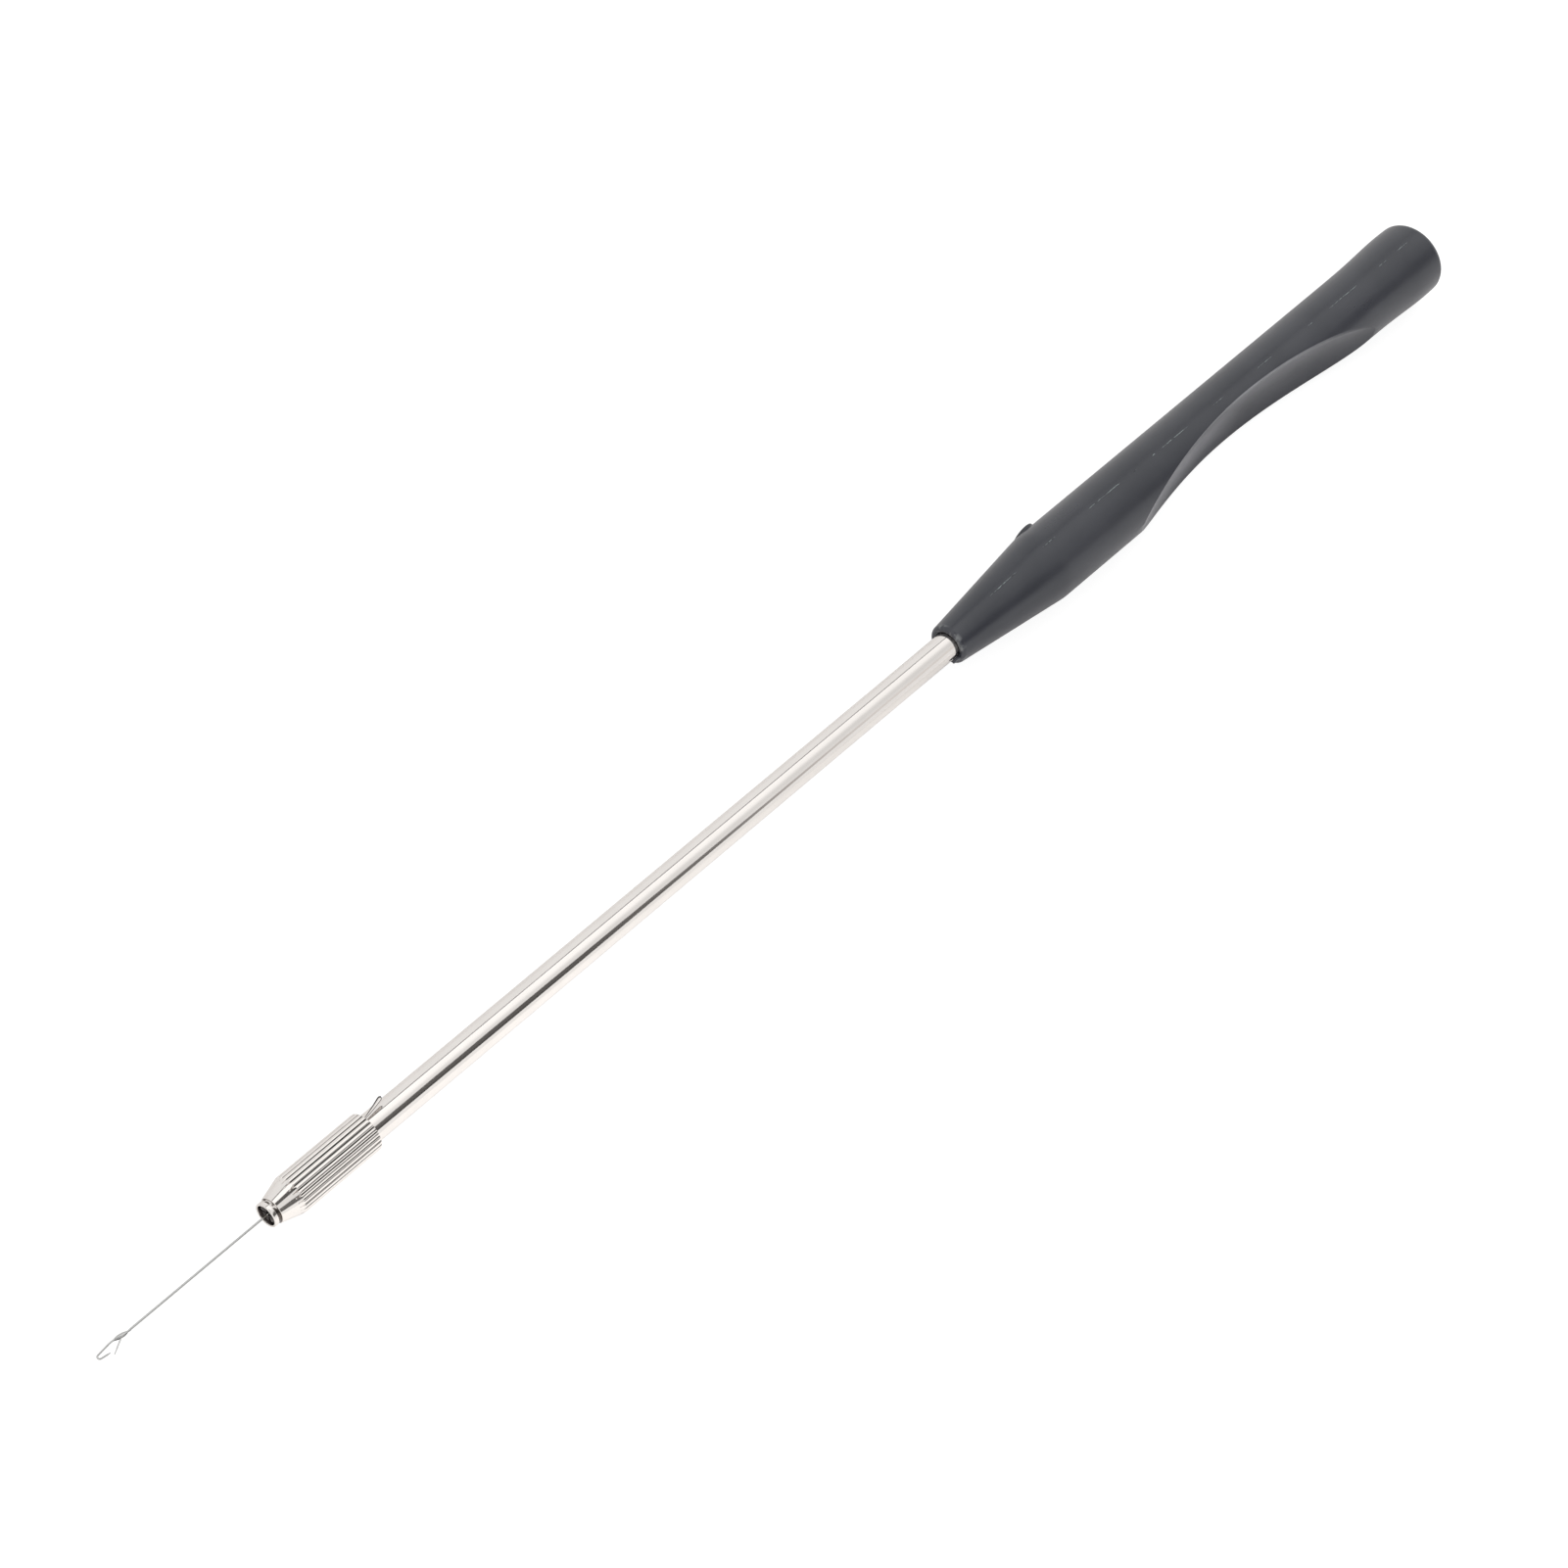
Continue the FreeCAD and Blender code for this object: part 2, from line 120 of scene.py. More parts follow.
def skin(rings, close_start=True, close_end=True):
    """Vertices and faces of a skin over closed rings of equal length, with its ends closed by fans."""
    columns = len(rings[0])
    vertices = [point for points in rings for point in points]
    faces = []
    for row in range(len(rings) - 1):
        for column in range(columns):
            after = (column + 1) % columns
            low, high = row * columns, (row + 1) * columns
            faces.append((low + column, low + after, high + after, high + column))
    for close, row, flip in ((close_start, 0, True), (close_end, len(rings) - 1, False)):
        if not close:
            continue
        centre = sum(rings[row], Vector()) / columns
        vertices.append(centre)
        hub = len(vertices) - 1
        first = row * columns
        for column in range(columns):
            after = first + (column + 1) % columns
            fan = (hub, after, first + column) if flip else (hub, first + column, after)
            faces.append(fan)
    return vertices, faces


def make_piece(name, shapes, body, material, merge=0.0, sharp=None):
    """One object from (vertices, faces) shapes in millimetres, riding on a body."""
    mesh = bpy.data.meshes.new(name)
    work = bmesh.new()
    for vertices, faces in shapes:
        made = [work.verts.new(Vector(v) * MM) for v in vertices]
        for face in faces:
            work.faces.new([made[index] for index in face])
    if merge:
        bmesh.ops.remove_doubles(work, verts=work.verts, dist=merge * MM)
        bmesh.ops.dissolve_degenerate(work, edges=work.edges, dist=merge * MM)
    bmesh.ops.recalc_face_normals(work, faces=work.faces)
    for face in work.faces:
        face.smooth = True
    if sharp:
        for edge in work.edges:
            if len(edge.link_faces) == 2 and edge.calc_face_angle(0) > math.radians(sharp):
                edge.smooth = False
    work.to_mesh(mesh)
    work.free()
    piece = add_object(name, mesh)
    mesh.materials.append(material)
    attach(piece, body)
    return piece


def quarter(start, end, steps, bulge_first):
    """Stations on a quarter ellipse from start to end, without start. bulge_first: x moves first."""
    points = []
    for step in range(1, steps + 1):
        angle = math.pi / 2 * step / steps
        first, second = math.sin(angle), 1 - math.cos(angle)
        along, out = (first, second) if bulge_first else (second, first)
        points.append((start[0] + (end[0] - start[0]) * along, start[1] + (end[1] - start[1]) * out))
    return points


def even(start, end, steps):
    """Stations from start to end in equal steps, without start."""
    along, out = end[0] - start[0], end[1] - start[1]
    return [(start[0] + along * step / steps, start[1] + out * step / steps)
            for step in range(1, steps + 1)]


# ---------------------------------------------------------------- materials

class Nodes:
    """Short way to write one material's node tree."""

    def __init__(self, name):
        self.material = bpy.data.materials.new(name)
        self.material.use_nodes = True
        self.tree = self.material.node_tree
        self.shader = self.tree.nodes["Principled BSDF"]

    @classmethod
    def of_tree(cls, tree):
        """The same helpers for a tree that belongs to no material."""
        nodes = cls.__new__(cls)
        nodes.tree = tree
        return nodes

    def add(self, kind, inputs=None, **settings):
        node = self.tree.nodes.new(kind)
        for key, value in settings.items():
            setattr(node, key, value)
        for key, value in (inputs or {}).items():
            self.put(node, key, value)
        return node

    def put(self, node, key, value):
        if isinstance(value, bpy.types.NodeSocket):
            self.tree.links.new(value, node.inputs[key])
        else:
            node.inputs[key].default_value = value

    def shade(self, key, value):
        """Sets one input of the shader."""
        self.put(self.shader, key, value)

    def place(self, stretch=(1, 1, 1)):
        """The point on the piece, in metres and stretched, so that patterns stay with the piece."""
        where = self.add("ShaderNodeTexCoord").outputs["Object"]
        return self.add("ShaderNodeMapping", {"Vector": where, "Scale": stretch}).outputs["Vector"]

    def parts(self):
        """X, Y and Z of the point on the piece, in metres."""
        return self.add("ShaderNodeSeparateXYZ", {"Vector": self.place()}).outputs

    def noise(self, scale, stretch=(1, 1, 1), detail=4.0, rough=0.55):
        inputs = {"Vector": self.place(stretch), "Scale": scale, "Detail": detail, "Roughness": rough}
        return self.add("ShaderNodeTexNoise", inputs).outputs["Fac"]

    def spread(self, value, low, high, to_low=0.0, to_high=1.0):
        inputs = {"Value": value, "From Min": low, "From Max": high, "To Min": to_low, "To Max": to_high}
        return self.add("ShaderNodeMapRange", inputs).outputs["Result"]

    def mix(self, share, first, second):
        node = self.add("ShaderNodeMix", data_type="RGBA")
        for index, value in ((0, share), (6, first), (7, second)):
            if isinstance(value, bpy.types.NodeSocket):
                self.tree.links.new(value, node.inputs[index])
            else:
                node.inputs[index].default_value = value
        return node.outputs[2]

    def maths(self, operation, first, second=0.0):
        node = self.add("ShaderNodeMath", operation=operation)
        self.put(node, 0, first)
        self.put(node, 1, second)
        return node.outputs[0]

    def bump(self, height, distance, strength=1.0):
        inputs = {"Height": height, "Distance": distance, "Strength": strength}
        self.shade("Normal", self.add("ShaderNodeBump", inputs).outputs["Normal"])

    def radius(self):
        """Distance from the tool's axis, in millimetres."""
        where = self.parts()
        square = self.maths("ADD", self.maths("POWER", where["Y"], 2.0),
                            self.maths("POWER", where["Z"], 2.0))
        return self.maths("MULTIPLY", self.maths("SQRT", square), 1000.0)


def plastic_material(name, specular):
    """Black moulded plastic: satin, faintly mottled, with fine grain and patches worn smoother."""
    nodes = Nodes(name)
    mottle = nodes.noise(90, detail=3)
    base = nodes.mix(nodes.spread(mottle, 0.35, 0.65), (0.017, 0.019, 0.027, 1),
                     (0.025, 0.027, 0.036, 1))
    nodes.shade("Base Color", base)
    rubbed_and_painted_highlight = nodes.noise(160, stretch=(0.35, 1, 1), detail=5)
    nodes.shade("Roughness", nodes.spread(rubbed_and_painted_highlight, 0.3, 0.7, 0.27, 0.37))
    nodes.shade("Specular IOR Level", specular)
    grain = nodes.noise(2600, detail=2)
    waves = nodes.noise(320, stretch=(0.3, 1, 1), detail=2)
    nodes.bump(nodes.maths("ADD", nodes.maths("MULTIPLY", grain, 0.25), waves), 0.00003)
    return nodes, base


def handle_material():
    """The plastic of the handle, with pale scuffs on the mouth's rim."""
    nodes, base = plastic_material("handle_plastic", 0.62)
    where = nodes.parts()
    rim = nodes.spread(where["X"], (MOUTH_X - 0.9) * MM, (MOUTH_X - 0.3) * MM)
    torn = nodes.spread(nodes.noise(700, detail=3), 0.5, 0.6)
    scuff = nodes.maths("MULTIPLY", rim, torn)
    nodes.shade("Base Color", nodes.mix(scuff, base, (0.13, 0.135, 0.14, 1)))
    return nodes.material


def painted_highlight_scoop_material():
    """The same plastic, duller, with a painted highlight: paler in patches towards the scoop's upper
    rim.
    """
    nodes, base = plastic_material("scoop_plastic", 0.42)
    where = nodes.parts()
    # painted highlight: the colour pales upwards towards the scoop's rim, along its middle, in patches
    up = nodes.maths("POWER", nodes.spread(where["Z"], -0.0025, 0.0052), 2.2)
    along = nodes.maths("MULTIPLY", nodes.spread(where["X"], 0.02, 0.045),
                        nodes.spread(where["X"], 0.086, 0.066, 0.45, 1.0))
    patchy = nodes.spread(nodes.noise(420, stretch=(0.5, 1, 1), detail=5), 0.3, 0.6, 0.7, 1.0)
    painted_highlight = nodes.maths("MULTIPLY", nodes.maths("MULTIPLY", up, along), patchy)
    rubbed_and_painted_highlight = nodes.mix(painted_highlight, base, (0.2, 0.202, 0.218, 1))
    # the bottom of the scoop is paler too, towards its front end
    bottom = nodes.maths("MULTIPLY", nodes.spread(where["Z"], -0.0048, -0.0015),
                         nodes.spread(where["Z"], 0.002, 0.0))
    front = nodes.maths("MULTIPLY", nodes.spread(where["X"], 0.05, 0.064, 0.0, 0.42), bottom)
    front = nodes.maths("MULTIPLY", front, patchy)
    nodes.shade("Base Color", nodes.mix(front, rubbed_and_painted_highlight, (0.3, 0.3, 0.33, 1)))
    return nodes.material


def flash_material():
    """Thin flash on the parting line, paler where it is torn."""
    nodes = Nodes("parting_flash")
    torn = nodes.noise(1500, detail=3)
    base = nodes.mix(nodes.spread(torn, 0.4, 0.6), (0.04, 0.045, 0.05, 1), (0.3, 0.35, 0.35, 1))
    nodes.shade("Base Color", base)
    nodes.shade("Roughness", 0.5)
    return nodes.material


def nickel_material(name, scratches_along, tint, rough_low, rough_high):
    """Bright nickel plate with fine scratches and a few dull spots."""
    nodes = Nodes(name)
    nodes.shade("Metallic", 1.0)
    cloud = nodes.noise(240, detail=4)
    dull = tuple(0.97 * c for c in tint)
    base = nodes.mix(nodes.spread(cloud, 0.35, 0.7), tint + (1,), dull + (1,))
    nodes.shade("Base Color", base)
    streaks = nodes.noise(1400, stretch=scratches_along, detail=3)
    nodes.shade("Roughness", nodes.spread(streaks, 0.3, 0.75, rough_low, rough_high))
    nodes.bump(streaks, 0.000002)
    return nodes.material


def knurl_material():
    """Nickel plate whose grooves are darker brown: a little grime, and painted shade in the deep
    valleys.
    """
    nodes = Nodes("knurl_nickel")
    nodes.shade("Metallic", 1.0)
    # brown towards the valleys' bottoms: grime, and painted shade where the grooves are deep
    depth = nodes.spread(nodes.radius(), KNURL_VALLEY + 0.13, KNURL_VALLEY + 0.24, 1.0, 0.0)
    patch = nodes.spread(nodes.noise(500, detail=4), 0.25, 0.5, 0.7, 1.0)
    grime_and_painted_shade = nodes.maths("MULTIPLY", depth, patch)
    base = nodes.mix(grime_and_painted_shade, NICKEL + (1,), (0.06, 0.046, 0.038, 1))
    nodes.shade("Base Color", base)
    streaks = nodes.noise(1600, stretch=(0.2, 1, 1), detail=3)
    nodes.shade("Roughness", nodes.spread(streaks, 0.3, 0.75, 0.06, 0.14))
    nodes.bump(streaks, 0.000004)
    return nodes.material


def grimy_nickel_material():
    """Nickel plate with patches of brown grime, for the groove behind the nut's lip."""
    nodes = Nodes("grimy_nickel")
    nodes.shade("Metallic", 1.0)
    patch = nodes.spread(nodes.noise(900, detail=2), 0.42, 0.52)
    nodes.shade("Base Color", nodes.mix(patch, NICKEL + (1,), (0.1, 0.085, 0.075, 1)))
    nodes.shade("Roughness", 0.2)
    return nodes.material


def dark_steel_material():
    """Dark steel of the collet, with bright worn edges."""
    nodes = Nodes("dark_steel")
    nodes.shade("Metallic", 0.9)
    worn = nodes.noise(900, detail=4)
    base = nodes.mix(nodes.spread(worn, 0.55, 0.7), (0.04, 0.034, 0.034, 1), (0.2, 0.19, 0.18, 1))
    nodes.shade("Base Color", base)
    nodes.shade("Roughness", 0.35)
    return nodes.material


NICKEL = (0.78, 0.745, 0.715)
KNURL_VALLEY = 2.8

add_camera()
PLASTIC = handle_material()
SCOOP_PLASTIC = painted_highlight_scoop_material()
FLASH = flash_material()
SHAFT_NICKEL = nickel_material("shaft_nickel", (0.02, 1, 1), NICKEL, 0.06, 0.13)
NUT_NICKEL = nickel_material("nut_nickel", (1, 0.3, 0.3), NICKEL, 0.08, 0.16)
NUT_KNURL = knurl_material()
NUT_GRIME = grimy_nickel_material()
NEEDLE_STEEL = nickel_material("needle_steel", (0.05, 1, 1), (0.5, 0.5, 0.49), 0.12, 0.2)
DARK_STEEL = dark_steel_material()

# ---------------------------------------------------------------- handle

BUTT_EDGE = 1.3
BUTT_DISH = ((0.12, 1.0), (0.05, 3.2))         # depth and radius of the dish in the butt's face
CYLINDER_RADIUS = 6.0                          # just behind the shoulder
CYLINDER_TAPER = 0.09                          # the cylinder is this much thicker at the butt
FLARE, FLARE_X, FLARE_LENGTH = 0.41, 4.0, 7.5  # swelling of the butt
SHOULDER_X, SHOULDER_EASE = 103.2, 0.6
CONE_SLOPE = 0.1137
MOUTH_LIP, MOUTH_RELIEF = 0.72, 0.45           # depth of the rim's rounding, outside and inside
RIM_RADIUS = 2.7                               # crest of the mouth's rounded rim
SHAFT_RADIUS = 2.25
SHAFT_GAP = 0.02                               # between the shaft and the handle's bore

SCOOP_X, SCOOP_FLOOR = 54.5, 0.72              # deepest station, and its height over the axis
SCOOP_AXIS = 20.0                              # the scoop is turned about a line this far off
SCOOP_REAR_ARC, SCOOP_FRONT_ARC = 118.0, 86.0  # radii of its floor along the tool
RIM_FRONT, RIM_REAR = 0.10, 0.75               # rounding of its edge: crisp in front, worn behind
OUTER_COLUMNS, EDGE_COLUMNS, SCOOP_COLUMNS = 168, 5, 44
SCOOP_ROWS = 150
BEHIND_STEP, FRONT_STEP = 0.8, 0.7             # between rings behind and in front of the scoop
LEAST_TURN = math.radians(8)                   # half angle that the scoop's columns always keep


def handle_radius(x):
    """Outer radius of the handle without its end roundings."""
    flare = FLARE * math.exp(-((x - FLARE_X) / FLARE_LENGTH) ** 2)
    radius = CYLINDER_RADIUS + CYLINDER_TAPER * (1 - x / SHOULDER_X) + flare
    past = x - SHOULDER_X
    if past > SHOULDER_EASE:
        return radius - CONE_SLOPE * past
    if past > -SHOULDER_EASE:
        return radius - CONE_SLOPE * (past + SHOULDER_EASE) ** 2 / (4 * SHOULDER_EASE)
    return radius


def scoop_cutter(x):
    """Radius of the round cutter that leaves the thumb scoop, at a station."""
    arc = SCOOP_REAR_ARC if x < SCOOP_X else SCOOP_FRONT_ARC
    drop = arc - math.sqrt(arc ** 2 - (x - SCOOP_X) ** 2)
    return SCOOP_AXIS - SCOOP_FLOOR - drop


def scoop_end(far):
    """Station where the scoop runs out of the handle's side, found by halving."""
    inside, outside = SCOOP_X, far
    for _ in range(50):
        middle = (inside + outside) / 2
        if SCOOP_AXIS - scoop_cutter(middle) < handle_radius(middle):
            inside = middle
        else:
            outside = middle
    return inside


SCOOP_REAR_X, SCOOP_FRONT_X = scoop_end(SCOOP_X - 45), scoop_end(SCOOP_X + 40)


def arc_between(centre, start, end, steps):
    """Points (y, z) on the short arc from start to end about a centre, both ends included."""
    first = math.atan2(start[1] - centre[1], start[0] - centre[0])
    last = math.atan2(end[1] - centre[1], end[0] - centre[0])
    turn = (last - first + math.pi) % (2 * math.pi) - math.pi
    radius = math.hypot(start[0] - centre[0], start[1] - centre[1])
    points = []
    for step in range(steps + 1):
        angle = first + turn * step / steps
        points.append((centre[0] + radius * math.cos(angle), centre[1] + radius * math.sin(angle)))
    return points


def outer_angles(start):
    """Angles of the columns on the handle's outside, from one side of the scoop to the other."""
    reach = 2 * math.pi - 2 * start
    return [start + reach * column / OUTER_COLUMNS for column in range(1, OUTER_COLUMNS)]


def scooped_ring(x):
    """Cross-section through the scoop: outer arc, rounded edge, hollow floor, rounded edge.
    None where the scoop is too narrow."""
    outer, cutter = handle_radius(x), scoop_cutter(x)
    share = (x - SCOOP_REAR_X) / (SCOOP_FRONT_X - SCOOP_REAR_X)
    edge = RIM_REAR + (RIM_FRONT - RIM_REAR) * min(1.0, 1.5 * share)
    hub_y = (SCOOP_AXIS ** 2 + (outer - edge) ** 2 - (cutter + edge) ** 2) / (2 * SCOOP_AXIS)
    hub_z = math.sqrt(max(0.0, (outer - edge) ** 2 - hub_y ** 2))
    start = math.atan2(hub_z, hub_y)
    if start < LEAST_TURN:
        return None
    out = outer / (outer - edge)
    on_outer = (hub_y * out, hub_z * out)
    share_in = edge / (cutter + edge)
    on_floor = (hub_y + (SCOOP_AXIS - hub_y) * share_in, hub_z * (1 - share_in))
    upper_edge = arc_between((hub_y, hub_z), on_floor, on_outer, EDGE_COLUMNS)
    lower_edge = [(y, -z) for y, z in reversed(upper_edge)]
    back = [(outer * math.cos(angle), outer * math.sin(angle)) for angle in outer_angles(start)]
    floor = arc_between((SCOOP_AXIS, 0), (on_floor[0], -on_floor[1]), on_floor, SCOOP_COLUMNS)[1:-1]
    return [Vector((x, y, z)) for y, z in upper_edge + back + lower_edge + floor]


def round_ring(x, radius):
    """Round cross-section with its points spread as they are beside the scoop's ends."""
    inner = 0.9 * LEAST_TURN
    upper = [inner + (LEAST_TURN - inner) * step / EDGE_COLUMNS for step in range(EDGE_COLUMNS + 1)]
    lower = [-angle for angle in reversed(upper)]
    floor = [inner * (2 * step / SCOOP_COLUMNS - 1) for step in range(1, SCOOP_COLUMNS)]
    return [around(x, radius, angle) for angle in upper + outer_angles(LEAST_TURN) + lower + floor]


def handle_rings():
    """Cross-sections from the butt's face to the mouth, and back along the bore."""
    rings = []
    butt_radius = handle_radius(BUTT_X + BUTT_EDGE)
    dish = [(BUTT_X + depth, radius) for depth, radius in BUTT_DISH]
    corner = [(BUTT_X, butt_radius - BUTT_EDGE)]
    corner += quarter(corner[0], (BUTT_X + BUTT_EDGE, butt_radius), 10, False)
    for x, radius in dish + corner:
        rings.append(round_ring(x, radius))
    x = BUTT_X + BUTT_EDGE
    while x < SCOOP_REAR_X - 1.0:
        x += BEHIND_STEP
        rings.append(round_ring(x, handle_radius(x)))
    middle, half = (SCOOP_REAR_X + SCOOP_FRONT_X) / 2, (SCOOP_FRONT_X - SCOOP_REAR_X) / 2
    for row in range(SCOOP_ROWS + 1):
        points = scooped_ring(middle - half * math.cos(math.pi * row / SCOOP_ROWS))
        if points:
            rings.append(points)
    x = SCOOP_FRONT_X
    while x < MOUTH_X - MOUTH_LIP - FRONT_STEP:
        x += FRONT_STEP
        rings.append(round_ring(x, handle_radius(x)))
    lip_start = (MOUTH_X - MOUTH_LIP, handle_radius(MOUTH_X - MOUTH_LIP))
    crest = (MOUTH_X, RIM_RADIUS)
    relief_end = (MOUTH_X - MOUTH_RELIEF, SHAFT_RADIUS + SHAFT_GAP)
    bore = [lip_start] + quarter(lip_start, crest, 9, True) + quarter(crest, relief_end, 7, False)
    bore += even(relief_end, (SHAFT_TAIL_X, SHAFT_RADIUS + SHAFT_GAP), 12)
    for x, radius in bore:
        rings.append(round_ring(x, radius))
    return rings


def build_handle():
    shell = make_piece("handle_shell", [skin(handle_rings())], "grip", PLASTIC,
                       merge=0.001)
    shell.data.materials.append(SCOOP_PLASTIC)
    for face in shell.data.polygons:
        x, y, z = face.center / MM
        in_scoop = SCOOP_REAR_X < x < SCOOP_FRONT_X and y > 0
        if in_scoop and math.hypot(y, z) < handle_radius(x) - 0.02:
            face.material_index = 1
    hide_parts("handle")


# the moulding gate's stub: a flat round disc opposite the scoop, hardly higher than the side
NUB_X, NUB_RADIUS, NUB_HEIGHT, NUB_EDGE = 100.2, 2.3, 0.15, 0.08
NUB_COLUMNS = 64


def build_gate_nub():
    top = CYLINDER_RADIUS + NUB_HEIGHT
    foot = CYLINDER_RADIUS - 0.62
    profile = [(NUB_RADIUS + 0.3, foot - 0.3), (NUB_RADIUS + 0.16, foot)]
    profile += quarter(profile[-1], (NUB_RADIUS, foot + 0.3), 4, True)
    profile += even(profile[-1], (NUB_RADIUS, top - NUB_EDGE), 4)
    profile += quarter(profile[-1], (NUB_RADIUS - NUB_EDGE, top), 5, False)
    profile += even(profile[-1], (0.9, top - 0.02), 4)
    profile += quarter(profile[-1], (0.5, top - 0.1), 4, True)
    rings = []
    for radius, height in profile:
        rings.append([Vector((NUB_X + radius * math.cos(angle), -height, radius * math.sin(angle)))
                      for angle in circle(NUB_COLUMNS)])
    make_piece("gate_nub", [skin(rings)], "grip", PLASTIC)


PARTING_ANGLE = 92.0        # degrees from +Y towards +Z
# stretches of flash along the two parting lines: start, length and height
FLASH_RUNS = (
    (4.5, 3.0, 0.04), (10.6, 2.4, 0.04), (19.0, 8.2, 0.07), (31.9, 1.3, 0.06), (43.4, 4.1, 0.05),
    (56.8, 3.0, 0.05), (66.4, 7.4, 0.08), (75.3, 0.7, 0.07), (80.3, 0.9, 0.09), (84.4, 4.0, 0.08),
    (88.4, 4.3, 0.1), (101.2, 3.2, 0.1), (110.8, 6.6, 0.1),
)
FLASH_WIDTH, FLASH_STEP = 0.15, 0.25
NIB_ANGLE = -6.0            # degrees from +Y towards +Z
NIB_THICKNESS = 0.4
# the torn nib: station past the mouth, radius over the rim's crest, and width
NIB = ((-0.5, 0.25, 0.3), (-0.1, 0.2, 0.8), (0.3, 0.12, 0.9), (0.7, 0.1, 0.75), (1.2, 0.12, 0.5),
       (1.6, 0.2, 0.2))


def flash_strip(start, length, height, angle, wander):
    """Sliver of flash with tapered ends, standing a little proud of the handle."""
    steps = max(8, int(length / FLASH_STEP))
    rings = []
    for step in range(steps + 1):
        share = step / steps
        x = start + length * share
        taper = math.sin(math.pi * share) ** 0.5 if 0 < step < steps else 0.05
        ragged = 0.65 + 0.35 * wander.random()
        here = angle + 0.012 * (wander.random() - 0.5)
        base = handle_radius(x) - 0.05
        top = handle_radius(x) + height * taper * ragged
        half = FLASH_WIDTH / 2 * taper / base
        rings.append([around(x, base, here - half), around(x, base, here + half),
                      around(x, top, here + half * 0.3), around(x, top, here - half * 0.3)])
    return skin(rings)


def mouth_nib():
    """Torn bit of flash on the mouth's rim, bent over along the shaft."""
    middle = math.radians(NIB_ANGLE)
    rings = []
    for past, over, width in NIB:
        x, top = MOUTH_X + past, RIM_RADIUS + over
        half = width / 2 / top
        rings.append([around(x, top - NIB_THICKNESS, middle - half),
                      around(x, top - NIB_THICKNESS, middle + half),
                      around(x, top, middle + half * 0.6), around(x, top, middle - half * 0.6)])
    return skin(rings)


def build_flash():
    wander = random.Random(4)
    shapes = []
    for side in (PARTING_ANGLE, PARTING_ANGLE + 180):
        for start, length, height in FLASH_RUNS:
            shapes.append(flash_strip(start, length, height, math.radians(side), wander))
    make_piece("parting_flash", shapes, "grip", FLASH)
    make_piece("mouth_nib", [mouth_nib()], "grip", PLASTIC)


# ---------------------------------------------------------------- shaft

SHAFT_BORE = 1.5
TAIL_EDGE, FRONT_EDGE = 0.1, 0.15


def build_shaft():
    stations = [(SHAFT_TAIL_X, SHAFT_BORE), (SHAFT_TAIL_X, SHAFT_RADIUS - TAIL_EDGE)]
    stations += quarter(stations[-1], (SHAFT_TAIL_X + TAIL_EDGE, SHAFT_RADIUS), 3, False)
    stations += even(stations[-1], (SHAFT_FRONT_X - FRONT_EDGE, SHAFT_RADIUS), 90)
    stations += quarter(stations[-1], (SHAFT_FRONT_X, SHAFT_RADIUS - FRONT_EDGE), 4, True)
    stations += [(SHAFT_FRONT_X, SHAFT_BORE), (SHAFT_TAIL_X, SHAFT_BORE)]
    rings = [ring(x, radius, 96) for x, radius in stations]
    shaft = make_piece("shaft_rod", [skin(rings, False, False)], "grip", SHAFT_NICKEL,
                       merge=0.002, sharp=40)
    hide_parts("shaft_tube")


# ---------------------------------------------------------------- chuck nut

RIDGES, RIDGE_COLUMNS = 24, 14
KNURL_TOP, KNURL_FRONT_X = 3.1, 268.95
KNURL_ROUND = 2.3           # power of the ridges' rounding: 2 is a plain arc, more is flatter on top
NUT_CHAMFER = 0.25
NOSE_GROOVE_X, NOSE_LIP_X = 272.5, 273.0
NOSE_RADIUS, GROOVE_RADIUS, LIP_RADIUS = 2.1, 1.87, 1.97
# inner radii and stations of the nut, front to rear
NUT_MOUTH, NUT_SEAT, NUT_THREAD, NUT_BORE = 1.62, 1.97, 2.04, 2.33
SEAT_REAR_X, NUT_THREAD_FRONT_X, NUT_THREAD_REAR_X, NUT_BORE_X = 269.95, 265.6, 259.2, 258.95


def ridge_radius(angle):
    """Radius of the round-topped ridges at an angle: a swell from valley to valley."""
    half = math.pi / RIDGES
    off = abs((angle + half) % (2 * half) - half) / half
    return KNURL_VALLEY + (KNURL_TOP - KNURL_VALLEY) * math.sqrt(max(0.0, 1 - off ** KNURL_ROUND))


def nut_ring(x, radius):
    columns = RIDGES * RIDGE_COLUMNS
    return ring(x, lambda angle: min(radius, ridge_radius(angle)), columns)


